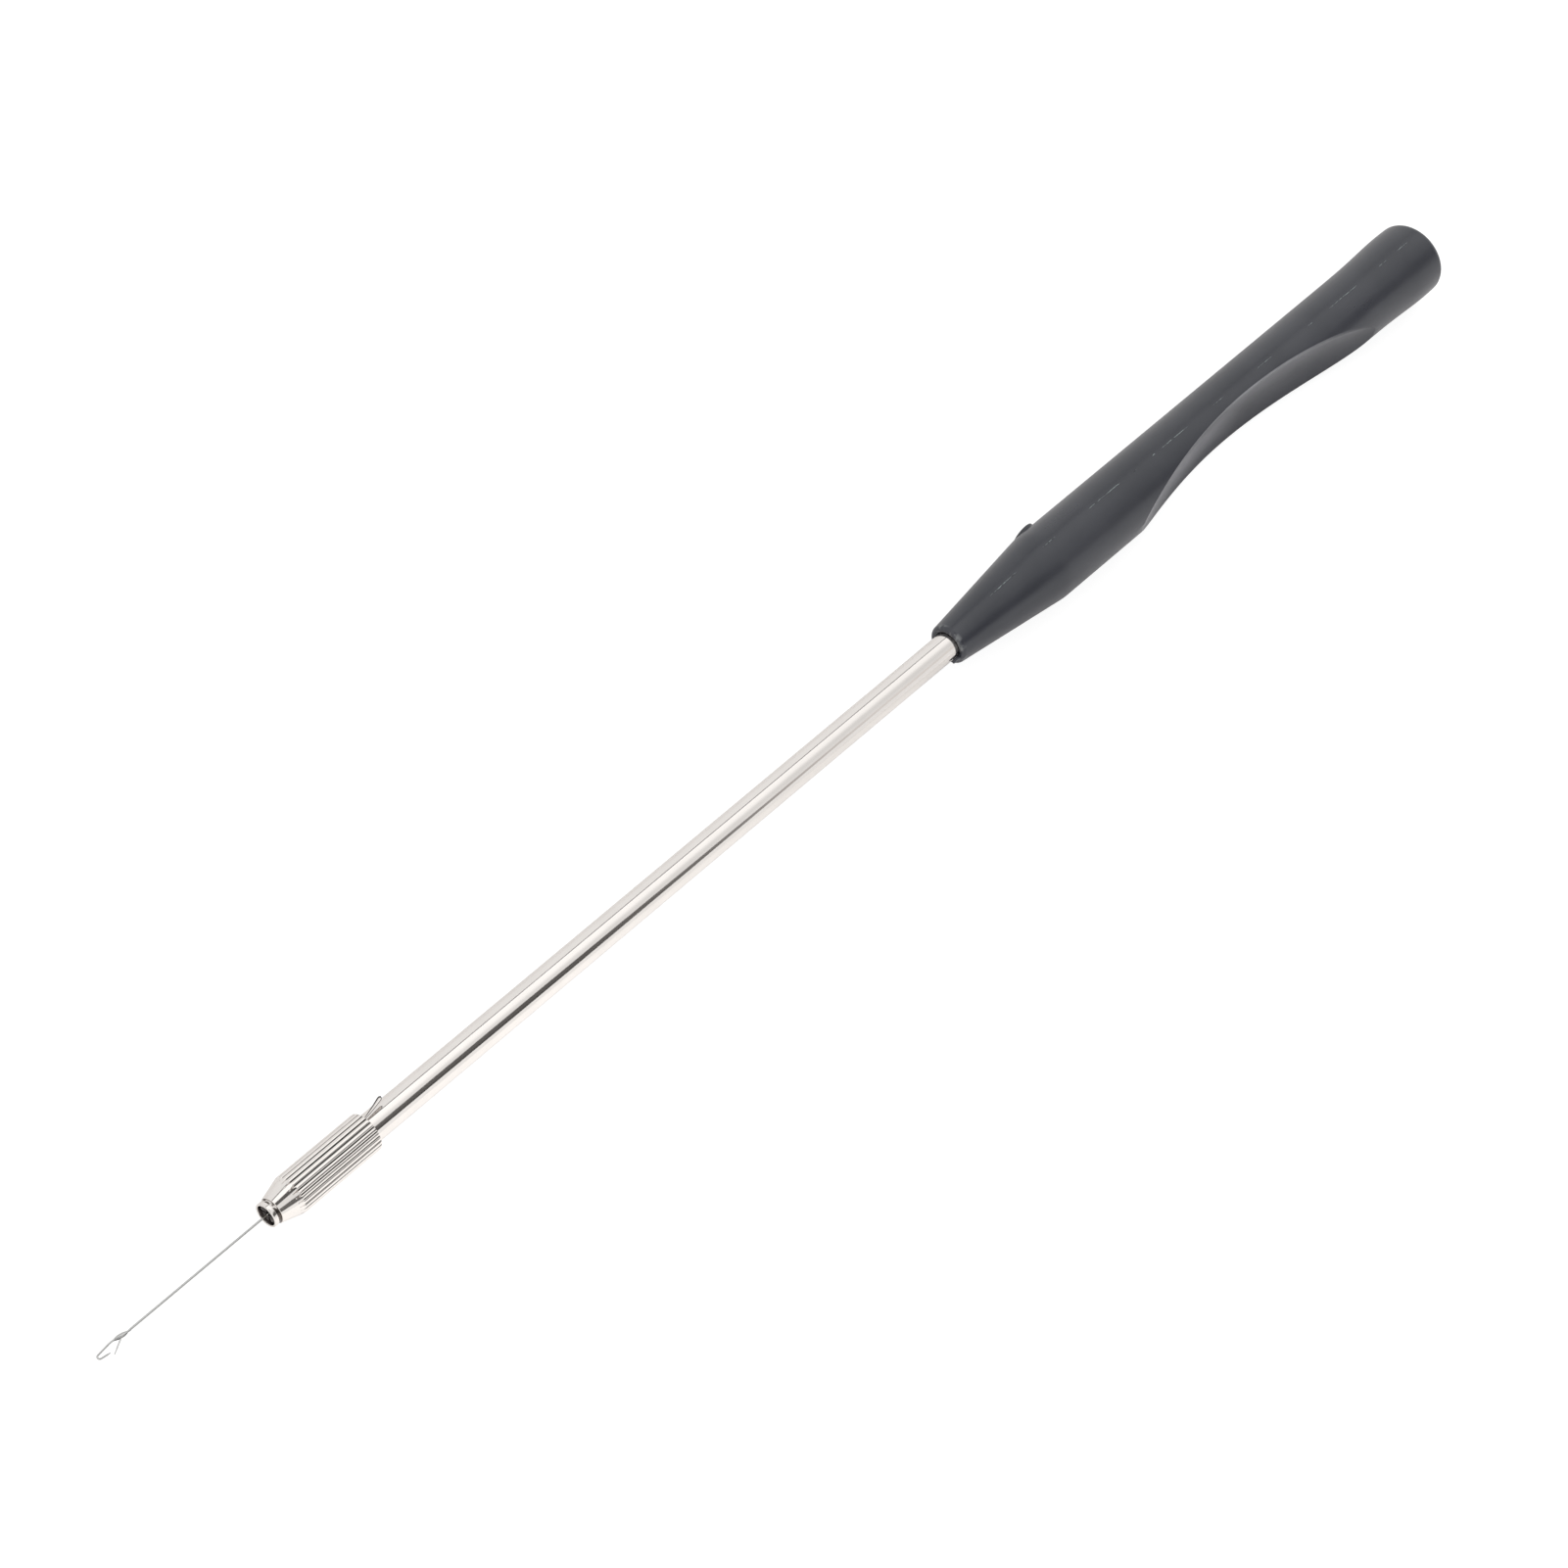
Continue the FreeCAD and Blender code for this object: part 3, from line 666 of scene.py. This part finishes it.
def nut_stations():
    """Stations of the nut, front along its outside and back along its bore."""
    outside = [(NUT_REAR_X, KNURL_TOP - 0.45)]
    outside += even(outside[-1], (NUT_REAR_X + NUT_CHAMFER, KNURL_TOP), 6)
    outside += even(outside[-1], (KNURL_FRONT_X, KNURL_TOP), 40)
    outside += even(outside[-1], (KNURL_FRONT_X + 1.0, KNURL_TOP - 0.29), 24)
    outside += even(outside[-1], (NOSE_GROOVE_X - 0.1, NOSE_RADIUS + 0.03), 16)
    outside += quarter(outside[-1], (NOSE_GROOVE_X, NOSE_RADIUS - 0.08), 4, True)
    outside += even(outside[-1], (NOSE_GROOVE_X + 0.04, GROOVE_RADIUS + 0.04), 2)
    outside += quarter(outside[-1], (NOSE_GROOVE_X + 0.12, GROOVE_RADIUS), 3, False)
    outside += even(outside[-1], (NOSE_LIP_X, GROOVE_RADIUS), 3)
    outside += quarter(outside[-1], (NOSE_LIP_X + 0.1, LIP_RADIUS), 5, False)
    outside += even(outside[-1], (NUT_FRONT_X - 0.16, LIP_RADIUS), 3)
    outside += quarter(outside[-1], (NUT_FRONT_X, LIP_RADIUS - 0.14), 7, True)
    inside = even(outside[-1], (NUT_FRONT_X, NUT_MOUTH + 0.08), 2)
    inside += quarter(inside[-1], (NUT_FRONT_X - 0.1, NUT_MOUTH), 5, False)
    inside += even(inside[-1], (NOSE_GROOVE_X + 0.1, NUT_MOUTH), 4)
    inside += even(inside[-1], (SEAT_REAR_X, NUT_SEAT), 6)
    inside += even(inside[-1], (NUT_THREAD_FRONT_X, NUT_THREAD), 3)
    inside += even(inside[-1], (NUT_THREAD_REAR_X, NUT_THREAD), 3)
    inside += even(inside[-1], (NUT_BORE_X, NUT_BORE), 2)
    inside += even(inside[-1], (NUT_REAR_X, NUT_BORE), 8)
    inside += even(inside[-1], outside[0], 2)
    return outside + inside


def build_nut():
    rings = [nut_ring(x, radius) for x, radius in nut_stations()]
    nut = make_piece("nut_shell", [skin(rings, False, False)], "nut", NUT_NICKEL,
                     merge=0.0015, sharp=50)
    nut.data.materials.append(NUT_KNURL)
    nut.data.materials.append(NUT_GRIME)
    for face in nut.data.polygons:
        centre = face.center / MM
        out = math.hypot(centre.y, centre.z)
        if centre.x < KNURL_FRONT_X and out > KNURL_VALLEY - 0.1:
            face.material_index = 1
        elif NOSE_GROOVE_X < centre.x < NOSE_LIP_X and out > NUT_MOUTH + 0.15:
            face.material_index = 2
    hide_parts("chuck_nut")


# burr left by the knurling: a thin curl that trails back from the nut's rear edge
BURR_ROOT_ANGLE, BURR_TIP_ANGLE = math.radians(104), math.radians(119)
BURR_ROOT_WIDTH, BURR_TIP_WIDTH = 0.12, 0.8
BURR_LENGTH, BURR_STEPS = 4.2, 30
BURR_LIFT = 0.6             # how far the tip stands off the shaft, over the root
BURR_TIP = 0.12             # share of the length that rounds off the tip
BURR_SHEET = 0.02           # half thickness
BURR_EDGE, BURR_EDGE_COLUMNS = 0.045, 8


def build_burr():
    """A bright curl between two dark rolled edges that meet in a round tip. The edges' dark steel is
    painted shade along the curl's outline.
    """
    centres, halves = [], []
    for step in range(BURR_STEPS + 1):
        share = step / BURR_STEPS
        angle = BURR_ROOT_ANGLE + (BURR_TIP_ANGLE - BURR_ROOT_ANGLE) * share
        radius = KNURL_TOP - 0.38 + BURR_LIFT * share ** 1.5
        width = BURR_ROOT_WIDTH + (BURR_TIP_WIDTH - BURR_ROOT_WIDTH) * share
        into_tip = (share - 1 + BURR_TIP) / BURR_TIP
        if into_tip > 0:
            width *= math.sqrt(max(0.0, 1 - into_tip ** 2))
        centres.append((NUT_REAR_X + 0.3 - BURR_LENGTH * share, radius, angle))
        halves.append(width / 2)
    web, edges = [], []
    for (x, radius, angle), half in zip(centres, halves):
        turn = max(half, BURR_SHEET) / radius
        under, over = radius - BURR_SHEET, radius + BURR_SHEET
        web.append([around(x, under, angle - turn), around(x, under, angle + turn),
                    around(x, over, angle + turn), around(x, over, angle - turn)])
    for side in (-1, 1):
        rings = []
        for (x, radius, angle), half in zip(centres, halves):
            middle = angle + side * half / radius
            rings.append([around(x, radius + BURR_EDGE * math.cos(turn),
                                 middle + BURR_EDGE * math.sin(turn) / radius)
                          for turn in circle(BURR_EDGE_COLUMNS)])
        edges.append(skin(rings))
    make_piece("nut_burr", [skin(web)], "nut", NUT_NICKEL)
    # the dark steel of the rolled edges is painted shade along the curl's outline
    make_piece("nut_burr_edge", edges, "nut", DARK_STEEL)


# ---------------------------------------------------------------- collet and its holder

COLLET_REAR_X, COLLET_FACE_X = span("collet")
JAW_ANGLES = [math.radians(70 + 90 * jaw) for jaw in range(4)]
SLOT_HALF = 0.13
NEEDLE_BORE = 0.21
# facets of the upper jaw that take the bright nickel as a painted highlight: degrees off its middle, and
# least height over the axis
PAINTED_HIGHLIGHT_FROM, PAINTED_HIGHLIGHT_TO, PAINTED_HIGHLIGHT_HEIGHT = 6, 34, 0.35
COLLET_SLEEVE_X = 260.6
# outside of the jaws: station and radius
JAW_STATIONS = ((260.5, 1.05), (265.7, 1.05), (265.72, 1.9), (269.9, 1.9), (272.5, 1.56), (272.8, 1.56))
JAW_HUB = 0.82              # radius about which a jaw's domed front closes
# domed front of a jaw: station before the face, and how much of the section is left
JAW_DOME = ((0.26, 0.99), (0.16, 0.95), (0.09, 0.87), (0.04, 0.75), (0.015, 0.58), (0.0, 0.35))


def jaw_section(radius, middle):
    """Points (radius, angle) of one jaw: outer arc, straight slot side, inner arc, slot side."""
    points = []
    for reach, turn, steps in ((radius, 1, 14), (NEEDLE_BORE, -1, 5)):
        half = math.pi / 4 - math.asin(SLOT_HALF / reach)
        for step in range(steps + 1):
            points.append((reach, middle + turn * half * (2 * step / steps - 1)))
    return points


def jaw_shape(middle):
    """One jaw: a shank, a taper and a domed front, about the jaw's middle angle."""
    rings = []
    for x, radius in JAW_STATIONS:
        rings.append([around(x, reach, angle) for reach, angle in jaw_section(radius, middle)])
    last = rings[-1]
    hub = around(JAW_STATIONS[-1][0], JAW_HUB, middle)
    for before, left in JAW_DOME:
        shrunk = [hub + (point - hub) * left for point in last]
        rings.append([Vector((COLLET_FACE_X - before, point.y, point.z)) for point in shrunk])
    return skin(rings)


def turned_tube(stations, columns=72):
    """Closed tube from (x, radius) stations that run along the outside and back along the bore."""
    return skin([ring(x, radius, columns) for x, radius in stations + stations[:1]], False, False)


def build_collet():
    sleeve = [(COLLET_REAR_X + 0.1, 0.95), (COLLET_REAR_X + 0.2, 1.05), (COLLET_SLEEVE_X, 1.05),
              (COLLET_SLEEVE_X, NEEDLE_BORE), (COLLET_REAR_X, NEEDLE_BORE), (COLLET_REAR_X, 0.95)]
    shapes = [jaw_shape(middle) for middle in JAW_ANGLES] + [turned_tube(sleeve)]
    collet = make_piece("collet_jaws", shapes, "jaws", DARK_STEEL, merge=0.001, sharp=38)
    collet.data.materials.append(NUT_NICKEL)
    for face in collet.data.polygons:
        y, z = face.center.y, face.center.z
        off = math.degrees(math.asin(abs(math.sin(math.atan2(z, y) - JAW_ANGLES[0]))))
        # facets high on the upper jaw take the bright nickel: a painted highlight
        if PAINTED_HIGHLIGHT_FROM < off < PAINTED_HIGHLIGHT_TO and z > PAINTED_HIGHLIGHT_HEIGHT * MM:
            face.material_index = 1
    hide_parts("collet")


PLUG_SHANK, PLUG_FLANGE, PLUG_NECK = 1.5, 2.2, 1.68     # outer radii, rear to front
PLUG_BORE, PLUG_BORE_X, PLUG_REAR_BORE = 1.1, 257.0, 0.6
FLANGE_REAR_X, FLANGE_FRONT_X, THREAD_REAR_X = 258.0, 258.6, 259.2
THREAD_PITCH, THREAD_CREST, THREAD_ROOT = 0.5, 2.0, 1.74


def build_holder():
    """Threaded plug: shank in the shaft, flange against its end, ring grooves, and a stepped bore."""
    rear, front = span("collet_holder")
    stations = [(rear, PLUG_SHANK - 0.2), (rear + 0.2, PLUG_SHANK), (FLANGE_REAR_X, PLUG_SHANK),
                (FLANGE_REAR_X, PLUG_FLANGE - 0.05), (FLANGE_REAR_X + 0.05, PLUG_FLANGE),
                (FLANGE_FRONT_X - 0.05, PLUG_FLANGE), (FLANGE_FRONT_X, PLUG_FLANGE - 0.05),
                (FLANGE_FRONT_X, PLUG_NECK), (THREAD_REAR_X, PLUG_NECK)]
    x = THREAD_REAR_X
    while x < front - THREAD_PITCH / 2:
        groove = x + THREAD_PITCH / 2
        stations += [(x + 0.04, THREAD_CREST - 0.02), (x + 0.1, THREAD_CREST),
                     (groove - 0.04, THREAD_ROOT + 0.03), (groove + 0.04, THREAD_ROOT)]
        x += THREAD_PITCH
    stations += [(front - 0.05, THREAD_CREST - 0.1), (front, THREAD_CREST - 0.2),
                 (front, PLUG_BORE + 0.05), (front - 0.05, PLUG_BORE), (PLUG_BORE_X, PLUG_BORE),
                 (PLUG_BORE_X, PLUG_REAR_BORE), (rear, PLUG_REAR_BORE)]
    holder = make_piece("holder_plug", [turned_tube(stations)], "grip", NUT_NICKEL,
                        merge=0.001, sharp=30)
    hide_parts("collet_holder")


# ---------------------------------------------------------------- needle

WIRE_RADIUS, HOOK_WIRE_RADIUS = 0.18, 0.14


def sweep(stations, columns=20):
    """Skin along points in the XY plane. A station is (x, y, in-plane half, half along Z)."""
    rings = []
    for index, (x, y, half_y, half_z) in enumerate(stations):
        before = stations[max(0, index - 1)]
        after = stations[min(len(stations) - 1, index + 1)]
        along = Vector((after[0] - before[0], after[1] - before[1], 0)).normalized()
        across = Vector((-along.y, along.x, 0))
        points = []
        for angle in circle(columns):
            shift = across * half_y * math.cos(angle) + Vector((0, 0, half_z * math.sin(angle)))
            points.append(Vector((x, y, 0)) + shift)
        rings.append(points)
    return skin(rings)


NECK_X, BACK_X, BACK_Y = 299.0, 302.0, -0.36            # the wire sinks from the neck to the back
HOOK_RISE, HOOK_CLOSE = math.radians(6), math.radians(172)      # headings of the back and of the leg
RISE_LENGTH, HOOK_RADIUS, HOOK_LEG = 2.47, 0.33, 1.5
SINK_STEPS, RISE_STEPS, BEND_STEPS, LEG_STEPS = 24, 10, 20, 12
TIP_STEPS = 5               # the last steps of the leg, which taper to the tip


def hook_line():
    """Points (x, y) from the neck to the hook's end."""
    points = []
    for step in range(1, SINK_STEPS + 1):
        share = step / SINK_STEPS
        ease = share * share * (3 - 2 * share)
        points.append((NECK_X + (BACK_X - NECK_X) * share, BACK_Y * ease))
    x, y = points[-1]
    for step in range(1, RISE_STEPS + 1):
        share = step / RISE_STEPS
        rise = math.sin(HOOK_RISE) * (share - 0.06)
        points.append((x + RISE_LENGTH * share * math.cos(HOOK_RISE), y + RISE_LENGTH * max(0.0, rise)))
    x, y = points[-1]
    centre = (x - HOOK_RADIUS * math.sin(HOOK_RISE), y + HOOK_RADIUS * math.cos(HOOK_RISE))
    for step in range(1, BEND_STEPS + 1):
        heading = HOOK_RISE + (HOOK_CLOSE - HOOK_RISE) * step / BEND_STEPS
        points.append((centre[0] + HOOK_RADIUS * math.sin(heading),
                       centre[1] - HOOK_RADIUS * math.cos(heading)))
    x, y = points[-1]
    for step in range(1, LEG_STEPS + 1):
        reach = HOOK_LEG * step / LEG_STEPS
        points.append((x + reach * math.cos(HOOK_CLOSE), y + reach * math.sin(HOOK_CLOSE)))
    return points


CHEEK_REACH, CHEEK_SWELL, CHEEK_WIDEN = 1.1, 0.22, 0.4
# the latch's slot through the cheeks: reach behind and before the rivet, floor, top and half width
SLOT_BACK, SLOT_AHEAD, SLOT_FLOOR, SLOT_TOP, SLOT_WIDE = 1.5, 1.7, -0.26, 1.5, 0.095


def swelling(x):
    """Extra half height of the flattened cheeks around the rivet."""
    off = (x - PIVOT_X) / CHEEK_REACH
    return 0.0 if abs(off) >= 1 else CHEEK_SWELL * (1 - off * off)


def needle_stations():
    """Stations (x, y, half height, half width) of the wire, from its rear end to the hook's tip."""
    stations = []
    x = NEEDLE_REAR_X
    stations.append((x, 0, 0.1, 0.1))
    stations.append((x + 0.08, 0, WIRE_RADIUS, WIRE_RADIUS))
    while x < NECK_X - 1.5:
        x += 0.9
        stations.append((x, 0, WIRE_RADIUS, WIRE_RADIUS))
    stations.append((NECK_X, 0, HOOK_WIRE_RADIUS + 0.02, HOOK_WIRE_RADIUS + 0.02))
    line = hook_line()
    last = len(line) - 1
    for index, (x, y) in enumerate(line):
        half_y, half_z = HOOK_WIRE_RADIUS, HOOK_WIRE_RADIUS
        if index < SINK_STEPS:
            extra = swelling(x)
            half_y += extra
            half_z += extra * CHEEK_WIDEN
        left = last - index
        if left < TIP_STEPS:
            taper = 0.35 + 0.65 * math.sin(math.pi / 2 * left / TIP_STEPS)
            half_y = half_z = HOOK_WIRE_RADIUS * taper
        stations.append((x, y, half_y, half_z))
    return stations


def cut_with(piece, cutter):
    """Cuts one mesh with another and removes the cutter."""
    step = piece.modifiers.new("cut", "BOOLEAN")
    step.operation = "DIFFERENCE"
    step.solver = "EXACT"
    step.object = cutter
    bpy.context.view_layer.update()
    done = bpy.data.meshes.new_from_object(piece.evaluated_get(bpy.context.evaluated_depsgraph_get()))
    piece.modifiers.clear()
    piece.data = done
    bpy.data.objects.remove(cutter)


def block(name, low, high):
    """Plain box, used only to cut with."""
    corners = [Vector((x, y, z)) * MM for x in (low[0], high[0]) for y in (low[1], high[1])
               for z in (low[2], high[2])]
    faces = [(0, 1, 3, 2), (4, 6, 7, 5), (0, 4, 5, 1), (2, 3, 7, 6), (0, 2, 6, 4), (1, 5, 7, 3)]
    mesh = bpy.data.meshes.new(name)
    mesh.from_pydata(corners, [], faces)
    return add_object(name, mesh)


def build_needle():
    needle = make_piece("needle_wire", [sweep(needle_stations())], "needle_body",
                        NEEDLE_STEEL)
    low = (PIVOT_X - SLOT_BACK, SLOT_FLOOR, -SLOT_WIDE)
    high = (PIVOT_X + SLOT_AHEAD, SLOT_TOP, SLOT_WIDE)
    cut_with(needle, block("slot", low, high))
    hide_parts("needle")


LATCH_REST = math.radians(27)
LATCH_LENGTH, LATCH_THICKNESS = 2.85, 0.15
LATCH_EYE, LATCH_BLADE = 0.23, 0.11
SPOON_START, SPOON_WIDTH, SPOON_DEPTH = 1.85, 0.23, 0.06
BLADE_START = 0.12          # the blade starts inside the eye, this far from the pivot
BLADE_STEPS, BLADE_COLUMNS, EYE_COLUMNS = 40, 28, 40
BLADE_SQUARE = 0.6          # power of the blade's cross-section: 1 is an ellipse, less is squarer
RIVET_HOLE = 0.1


def latch_blade():
    """Blade from the eye to the spoon: (along, half height, half width, sag) stations laid along +X."""
    stations = []
    for step in range(BLADE_STEPS + 1):
        along = BLADE_START + (LATCH_LENGTH - BLADE_START) * step / BLADE_STEPS
        into = max(0.0, (along - SPOON_START) / (LATCH_LENGTH - SPOON_START))
        swell = math.sin(math.pi * min(1.0, into) ** 0.8) if into else 0.0
        half_width = LATCH_THICKNESS / 2 + (SPOON_WIDTH - LATCH_THICKNESS / 2) * swell
        half_height = LATCH_BLADE * (1 - 0.45 * into)
        if step == BLADE_STEPS:
            half_width, half_height = 0.03, 0.03
        stations.append((along, half_height, half_width, SPOON_DEPTH * swell))
    rings = []
    for along, half_height, half_width, dish in stations:
        points = []
        for angle in circle(BLADE_COLUMNS):
            side, up = math.sin(angle), math.cos(angle)
            height = half_height * math.copysign(abs(up) ** BLADE_SQUARE, up)
            width = half_width * math.copysign(abs(side) ** BLADE_SQUARE, side)
            if up < 0:
                height += dish * (1 - side * side)
            points.append(Vector((along, height, width)))
        rings.append(points)
    return rings


def latch_eye():
    """Flat ring round the rivet with eased edges."""
    half, edge = LATCH_THICKNESS / 2, 0.02
    profile = [(RIVET_HOLE, -half + edge), (RIVET_HOLE + edge, -half), (LATCH_EYE - edge, -half),
               (LATCH_EYE, -half + edge), (LATCH_EYE, half - edge), (LATCH_EYE - edge, half),
               (RIVET_HOLE + edge, half), (RIVET_HOLE, half - edge)]
    rings = []
    for radius, height in profile + profile[:1]:
        rings.append([Vector((radius * math.cos(angle), radius * math.sin(angle), height))
                      for angle in circle(EYE_COLUMNS)])
    return rings


def build_latch():
    turn = Matrix.Translation((PIVOT_X, 0, 0)) @ Matrix.Rotation(LATCH_REST, 4, "Z")
    shapes = []
    for rings, closed in ((latch_blade(), True), (latch_eye(), False)):
        shapes.append(skin([[turn @ point for point in points] for points in rings], closed, closed))
    latch = make_piece("latch_blade", shapes, "latch_body", NEEDLE_STEEL, merge=0.0005,
                       sharp=60)
    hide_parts("latch")


# half of the rivet: radius, and distance in from its end
RIVET_HEAD = ((0.02, 0.0), (0.06, 0.004), (0.09, 0.013), (0.11, 0.03), (0.08, 0.031))
RIVET_COLUMNS = 32


def build_rivet():
    """Pin with a low domed head on each side."""
    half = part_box("latch_rivet")[1].z / MM
    head = [(radius, half - inward) for radius, inward in RIVET_HEAD]
    profile = head + [(radius, -height) for radius, height in reversed(head)]
    rings = []
    for radius, height in profile:
        rings.append([Vector((PIVOT_X + radius * math.cos(angle), radius * math.sin(angle), height))
                      for angle in circle(RIVET_COLUMNS)])
    rivet = make_piece("rivet_pin", [skin(rings)], "needle_body", NEEDLE_STEEL, sharp=50)
    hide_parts("latch_rivet")


# ---------------------------------------------------------------- studio

FLOOR_Z, FLOOR_REACH = -0.0064, 3.0                     # metres
# Brightness of the surroundings by direction around the tool: degrees from +Y towards +Z, and value.
# A grey wall stands behind the tool, a lit ceiling over it, and a dark joint runs between the two.
SURROUNDINGS = ((-180, 0.9), (-90, 1.0), (0, 1.1), (20, 1.1), (60, 0.95), (72, 1.0), (92, 1.32),
                (123.0, 1.42), (123.8, 0.15), (128.6, 0.15), (129.4, 1.02), (180, 0.97))
# The ceiling is dimmer towards the handle's end: direction along the tool, and the share lost.
CEILING_DIM = (-0.62, -0.42, 0.14)
# A dark screen hangs in front of the tool, on a cylinder about the tool's line: station in
# millimetres, lower and upper edge in degrees from +Y towards +Z, and how much light it lets by.
SCREEN_RADIUS = 600.0
SCREEN = ((-900, 22, 56, 0.1), (-600, 22, 56, 0.1), (-450, 22, 54, 0.1), (-370, 24, 45, 0.3),
          (-330, 25, 38, 0.85), (-260, 24, 37, 0.85), (-215, 21, 37, 0.45), (-193, 20, 40, 0.1),
          (-130, 18, 51, 0.0), (-80, 21, 58, 0.0), (-29, 25, 60, 0.0), (90, 20, 46, 0.05),
          (600, 20, 46, 0.05))
# A narrower one hangs overhead, in front of the tool, where only the nut's cone looks.
OVERHEAD = ((110, 88, 92, 0.0), (210, 80, 94, 0.0), (245, 76, 97, 0.0), (600, 76, 97, 0.0))
SCREEN_DARKEST, SCREEN_DARK = 0.04, 0.13                # glow at the lower edge, and above it
SCREEN_STEPS, SCREEN_COLUMNS = 8, 12
CEILING_ANGLE = 123         # degrees from +Y towards +Z


def floor_sheet(name, height, base, glow):
    mesh = bpy.data.meshes.new(name)
    reach = FLOOR_REACH
    mesh.from_pydata([(-reach, -reach, height), (reach, -reach, height), (reach, reach, height),
                      (-reach, reach, height)], [], [(0, 1, 2, 3)])
    sheet = add_object(name, mesh)
    nodes = Nodes(name)
    nodes.shade("Base Color", base)
    nodes.shade("Roughness", 1.0)
    nodes.shade("Specular IOR Level", 0.0)
    nodes.shade("Emission Color", (1, 1, 1, 1))
    nodes.shade("Emission Strength", glow(nodes) if callable(glow) else glow)
    sheet.data.materials.append(nodes.material)
    return sheet


def gleam(nodes):
    """Extra light on the table in front of the tool, beside the scoop and along the shaft."""
    where = nodes.parts()
    front = nodes.spread(where["Y"], -0.002, 0.006)
    past_handle = nodes.spread(where["X"], 0.11, 0.135, 0.0, 0.16)
    along = nodes.spread(where["X"], 0.15, 0.215, 0.0, 0.22)
    beside_scoop = nodes.spread(where["X"], 0.1, 0.08, 0.0, 0.1)
    lit = nodes.maths("ADD", nodes.maths("ADD", past_handle, along), beside_scoop)
    return nodes.maths("MULTIPLY", front, lit)


def build_floor():
    """White table. The upper sheet is what the camera sees, lit from inside a little so that its
    shadows stay faint; the lower sheet is what the tool's own surfaces see."""
    seen = floor_sheet("floor_white", FLOOR_Z, (0.27, 0.27, 0.27, 1), 0.85)
    seen.visible_glossy = False
    seen.visible_diffuse = False
    seen.visible_shadow = False
    under = floor_sheet("floor_bounce", FLOOR_Z - 0.0001, (0.86, 0.848, 0.838, 1), gleam)
    under.visible_camera = False
    under.visible_shadow = False


def build_screen(name, table):
    """A dark screen. Only shiny surfaces see it."""
    rows = []
    for here, after in zip(table, table[1:]):
        for step in range(SCREEN_STEPS):
            rows.append([a + (b - a) * step / SCREEN_STEPS for a, b in zip(here, after)])
    rows.append(list(table[-1]))
    columns = SCREEN_COLUMNS
    vertices, faces, glow = [], [], []
    for x, low, high, through in rows:
        for column in range(columns + 1):
            share = column / columns
            vertices.append(around(x, SCREEN_RADIUS, math.radians(low + (high - low) * share)) * MM)
            dark = SCREEN_DARKEST + (SCREEN_DARK - SCREEN_DARKEST) * min(1.0, 2.5 * share)
            glow.append(dark + (1 - dark) * through)
    for row in range(len(rows) - 1):
        for column in range(columns):
            first = row * (columns + 1) + column
            faces.append((first, first + 1, first + columns + 2, first + columns + 1))
    mesh = bpy.data.meshes.new(name)
    mesh.from_pydata(vertices, [], faces)
    mesh.attributes.new("glow", "FLOAT", "POINT").data.foreach_set("value", glow)
    screen = add_object(name, mesh)
    nodes = Nodes(name)
    nodes.shade("Base Color", (0, 0, 0, 1))
    nodes.shade("Specular IOR Level", 0.0)
    nodes.shade("Emission Color", (1.0, 0.96, 0.94, 1))
    glow_now = nodes.add("ShaderNodeAttribute", attribute_name="glow").outputs["Fac"]
    nodes.shade("Emission Strength", glow_now)
    screen.data.materials.append(nodes.material)
    screen.visible_camera = False
    screen.visible_diffuse = False
    screen.visible_shadow = False


def build_world():
    world = bpy.data.worlds.new("studio")
    world.use_nodes = True
    nodes = Nodes.of_tree(world.node_tree)
    way = nodes.add("ShaderNodeTexCoord").outputs["Generated"]
    split = nodes.add("ShaderNodeSeparateXYZ", {"Vector": way})
    angle = nodes.maths("ARCTAN2", split.outputs["Z"], split.outputs["Y"])
    ramp = nodes.add("ShaderNodeValToRGB", {"Fac": nodes.spread(angle, -math.pi, math.pi)})
    stops = ramp.color_ramp.elements
    while len(stops) < len(SURROUNDINGS):
        stops.new(0.5)
    for stop, (degrees, value) in zip(stops, SURROUNDINGS):
        stop.position = (degrees + 180) / 360
        stop.color = (value / 2, value / 2, value / 2, 1)
    far, near, lost = CEILING_DIM
    dim = nodes.spread(split.outputs["X"], far, near, lost, 0.0)
    overhead = nodes.spread(angle, math.radians(CEILING_ANGLE), math.radians(CEILING_ANGLE - 3))
    left = nodes.maths("SUBTRACT", 1.0, nodes.maths("MULTIPLY", dim, overhead))
    background = world.node_tree.nodes["Background"]
    nodes.put(background, "Color", ramp.outputs["Color"])
    nodes.put(background, "Strength", nodes.maths("MULTIPLY", left, 2.0))
    bpy.context.scene.world = world
    bpy.context.scene.view_settings.view_transform = "Standard"


build_handle()
build_gate_nub()
build_flash()
build_shaft()
build_nut()
build_burr()
build_collet()
build_holder()
build_needle()
build_latch()
build_rivet()
build_floor()
build_screen("dark_screen", SCREEN)
build_screen("overhead_screen", OVERHEAD)
build_world()
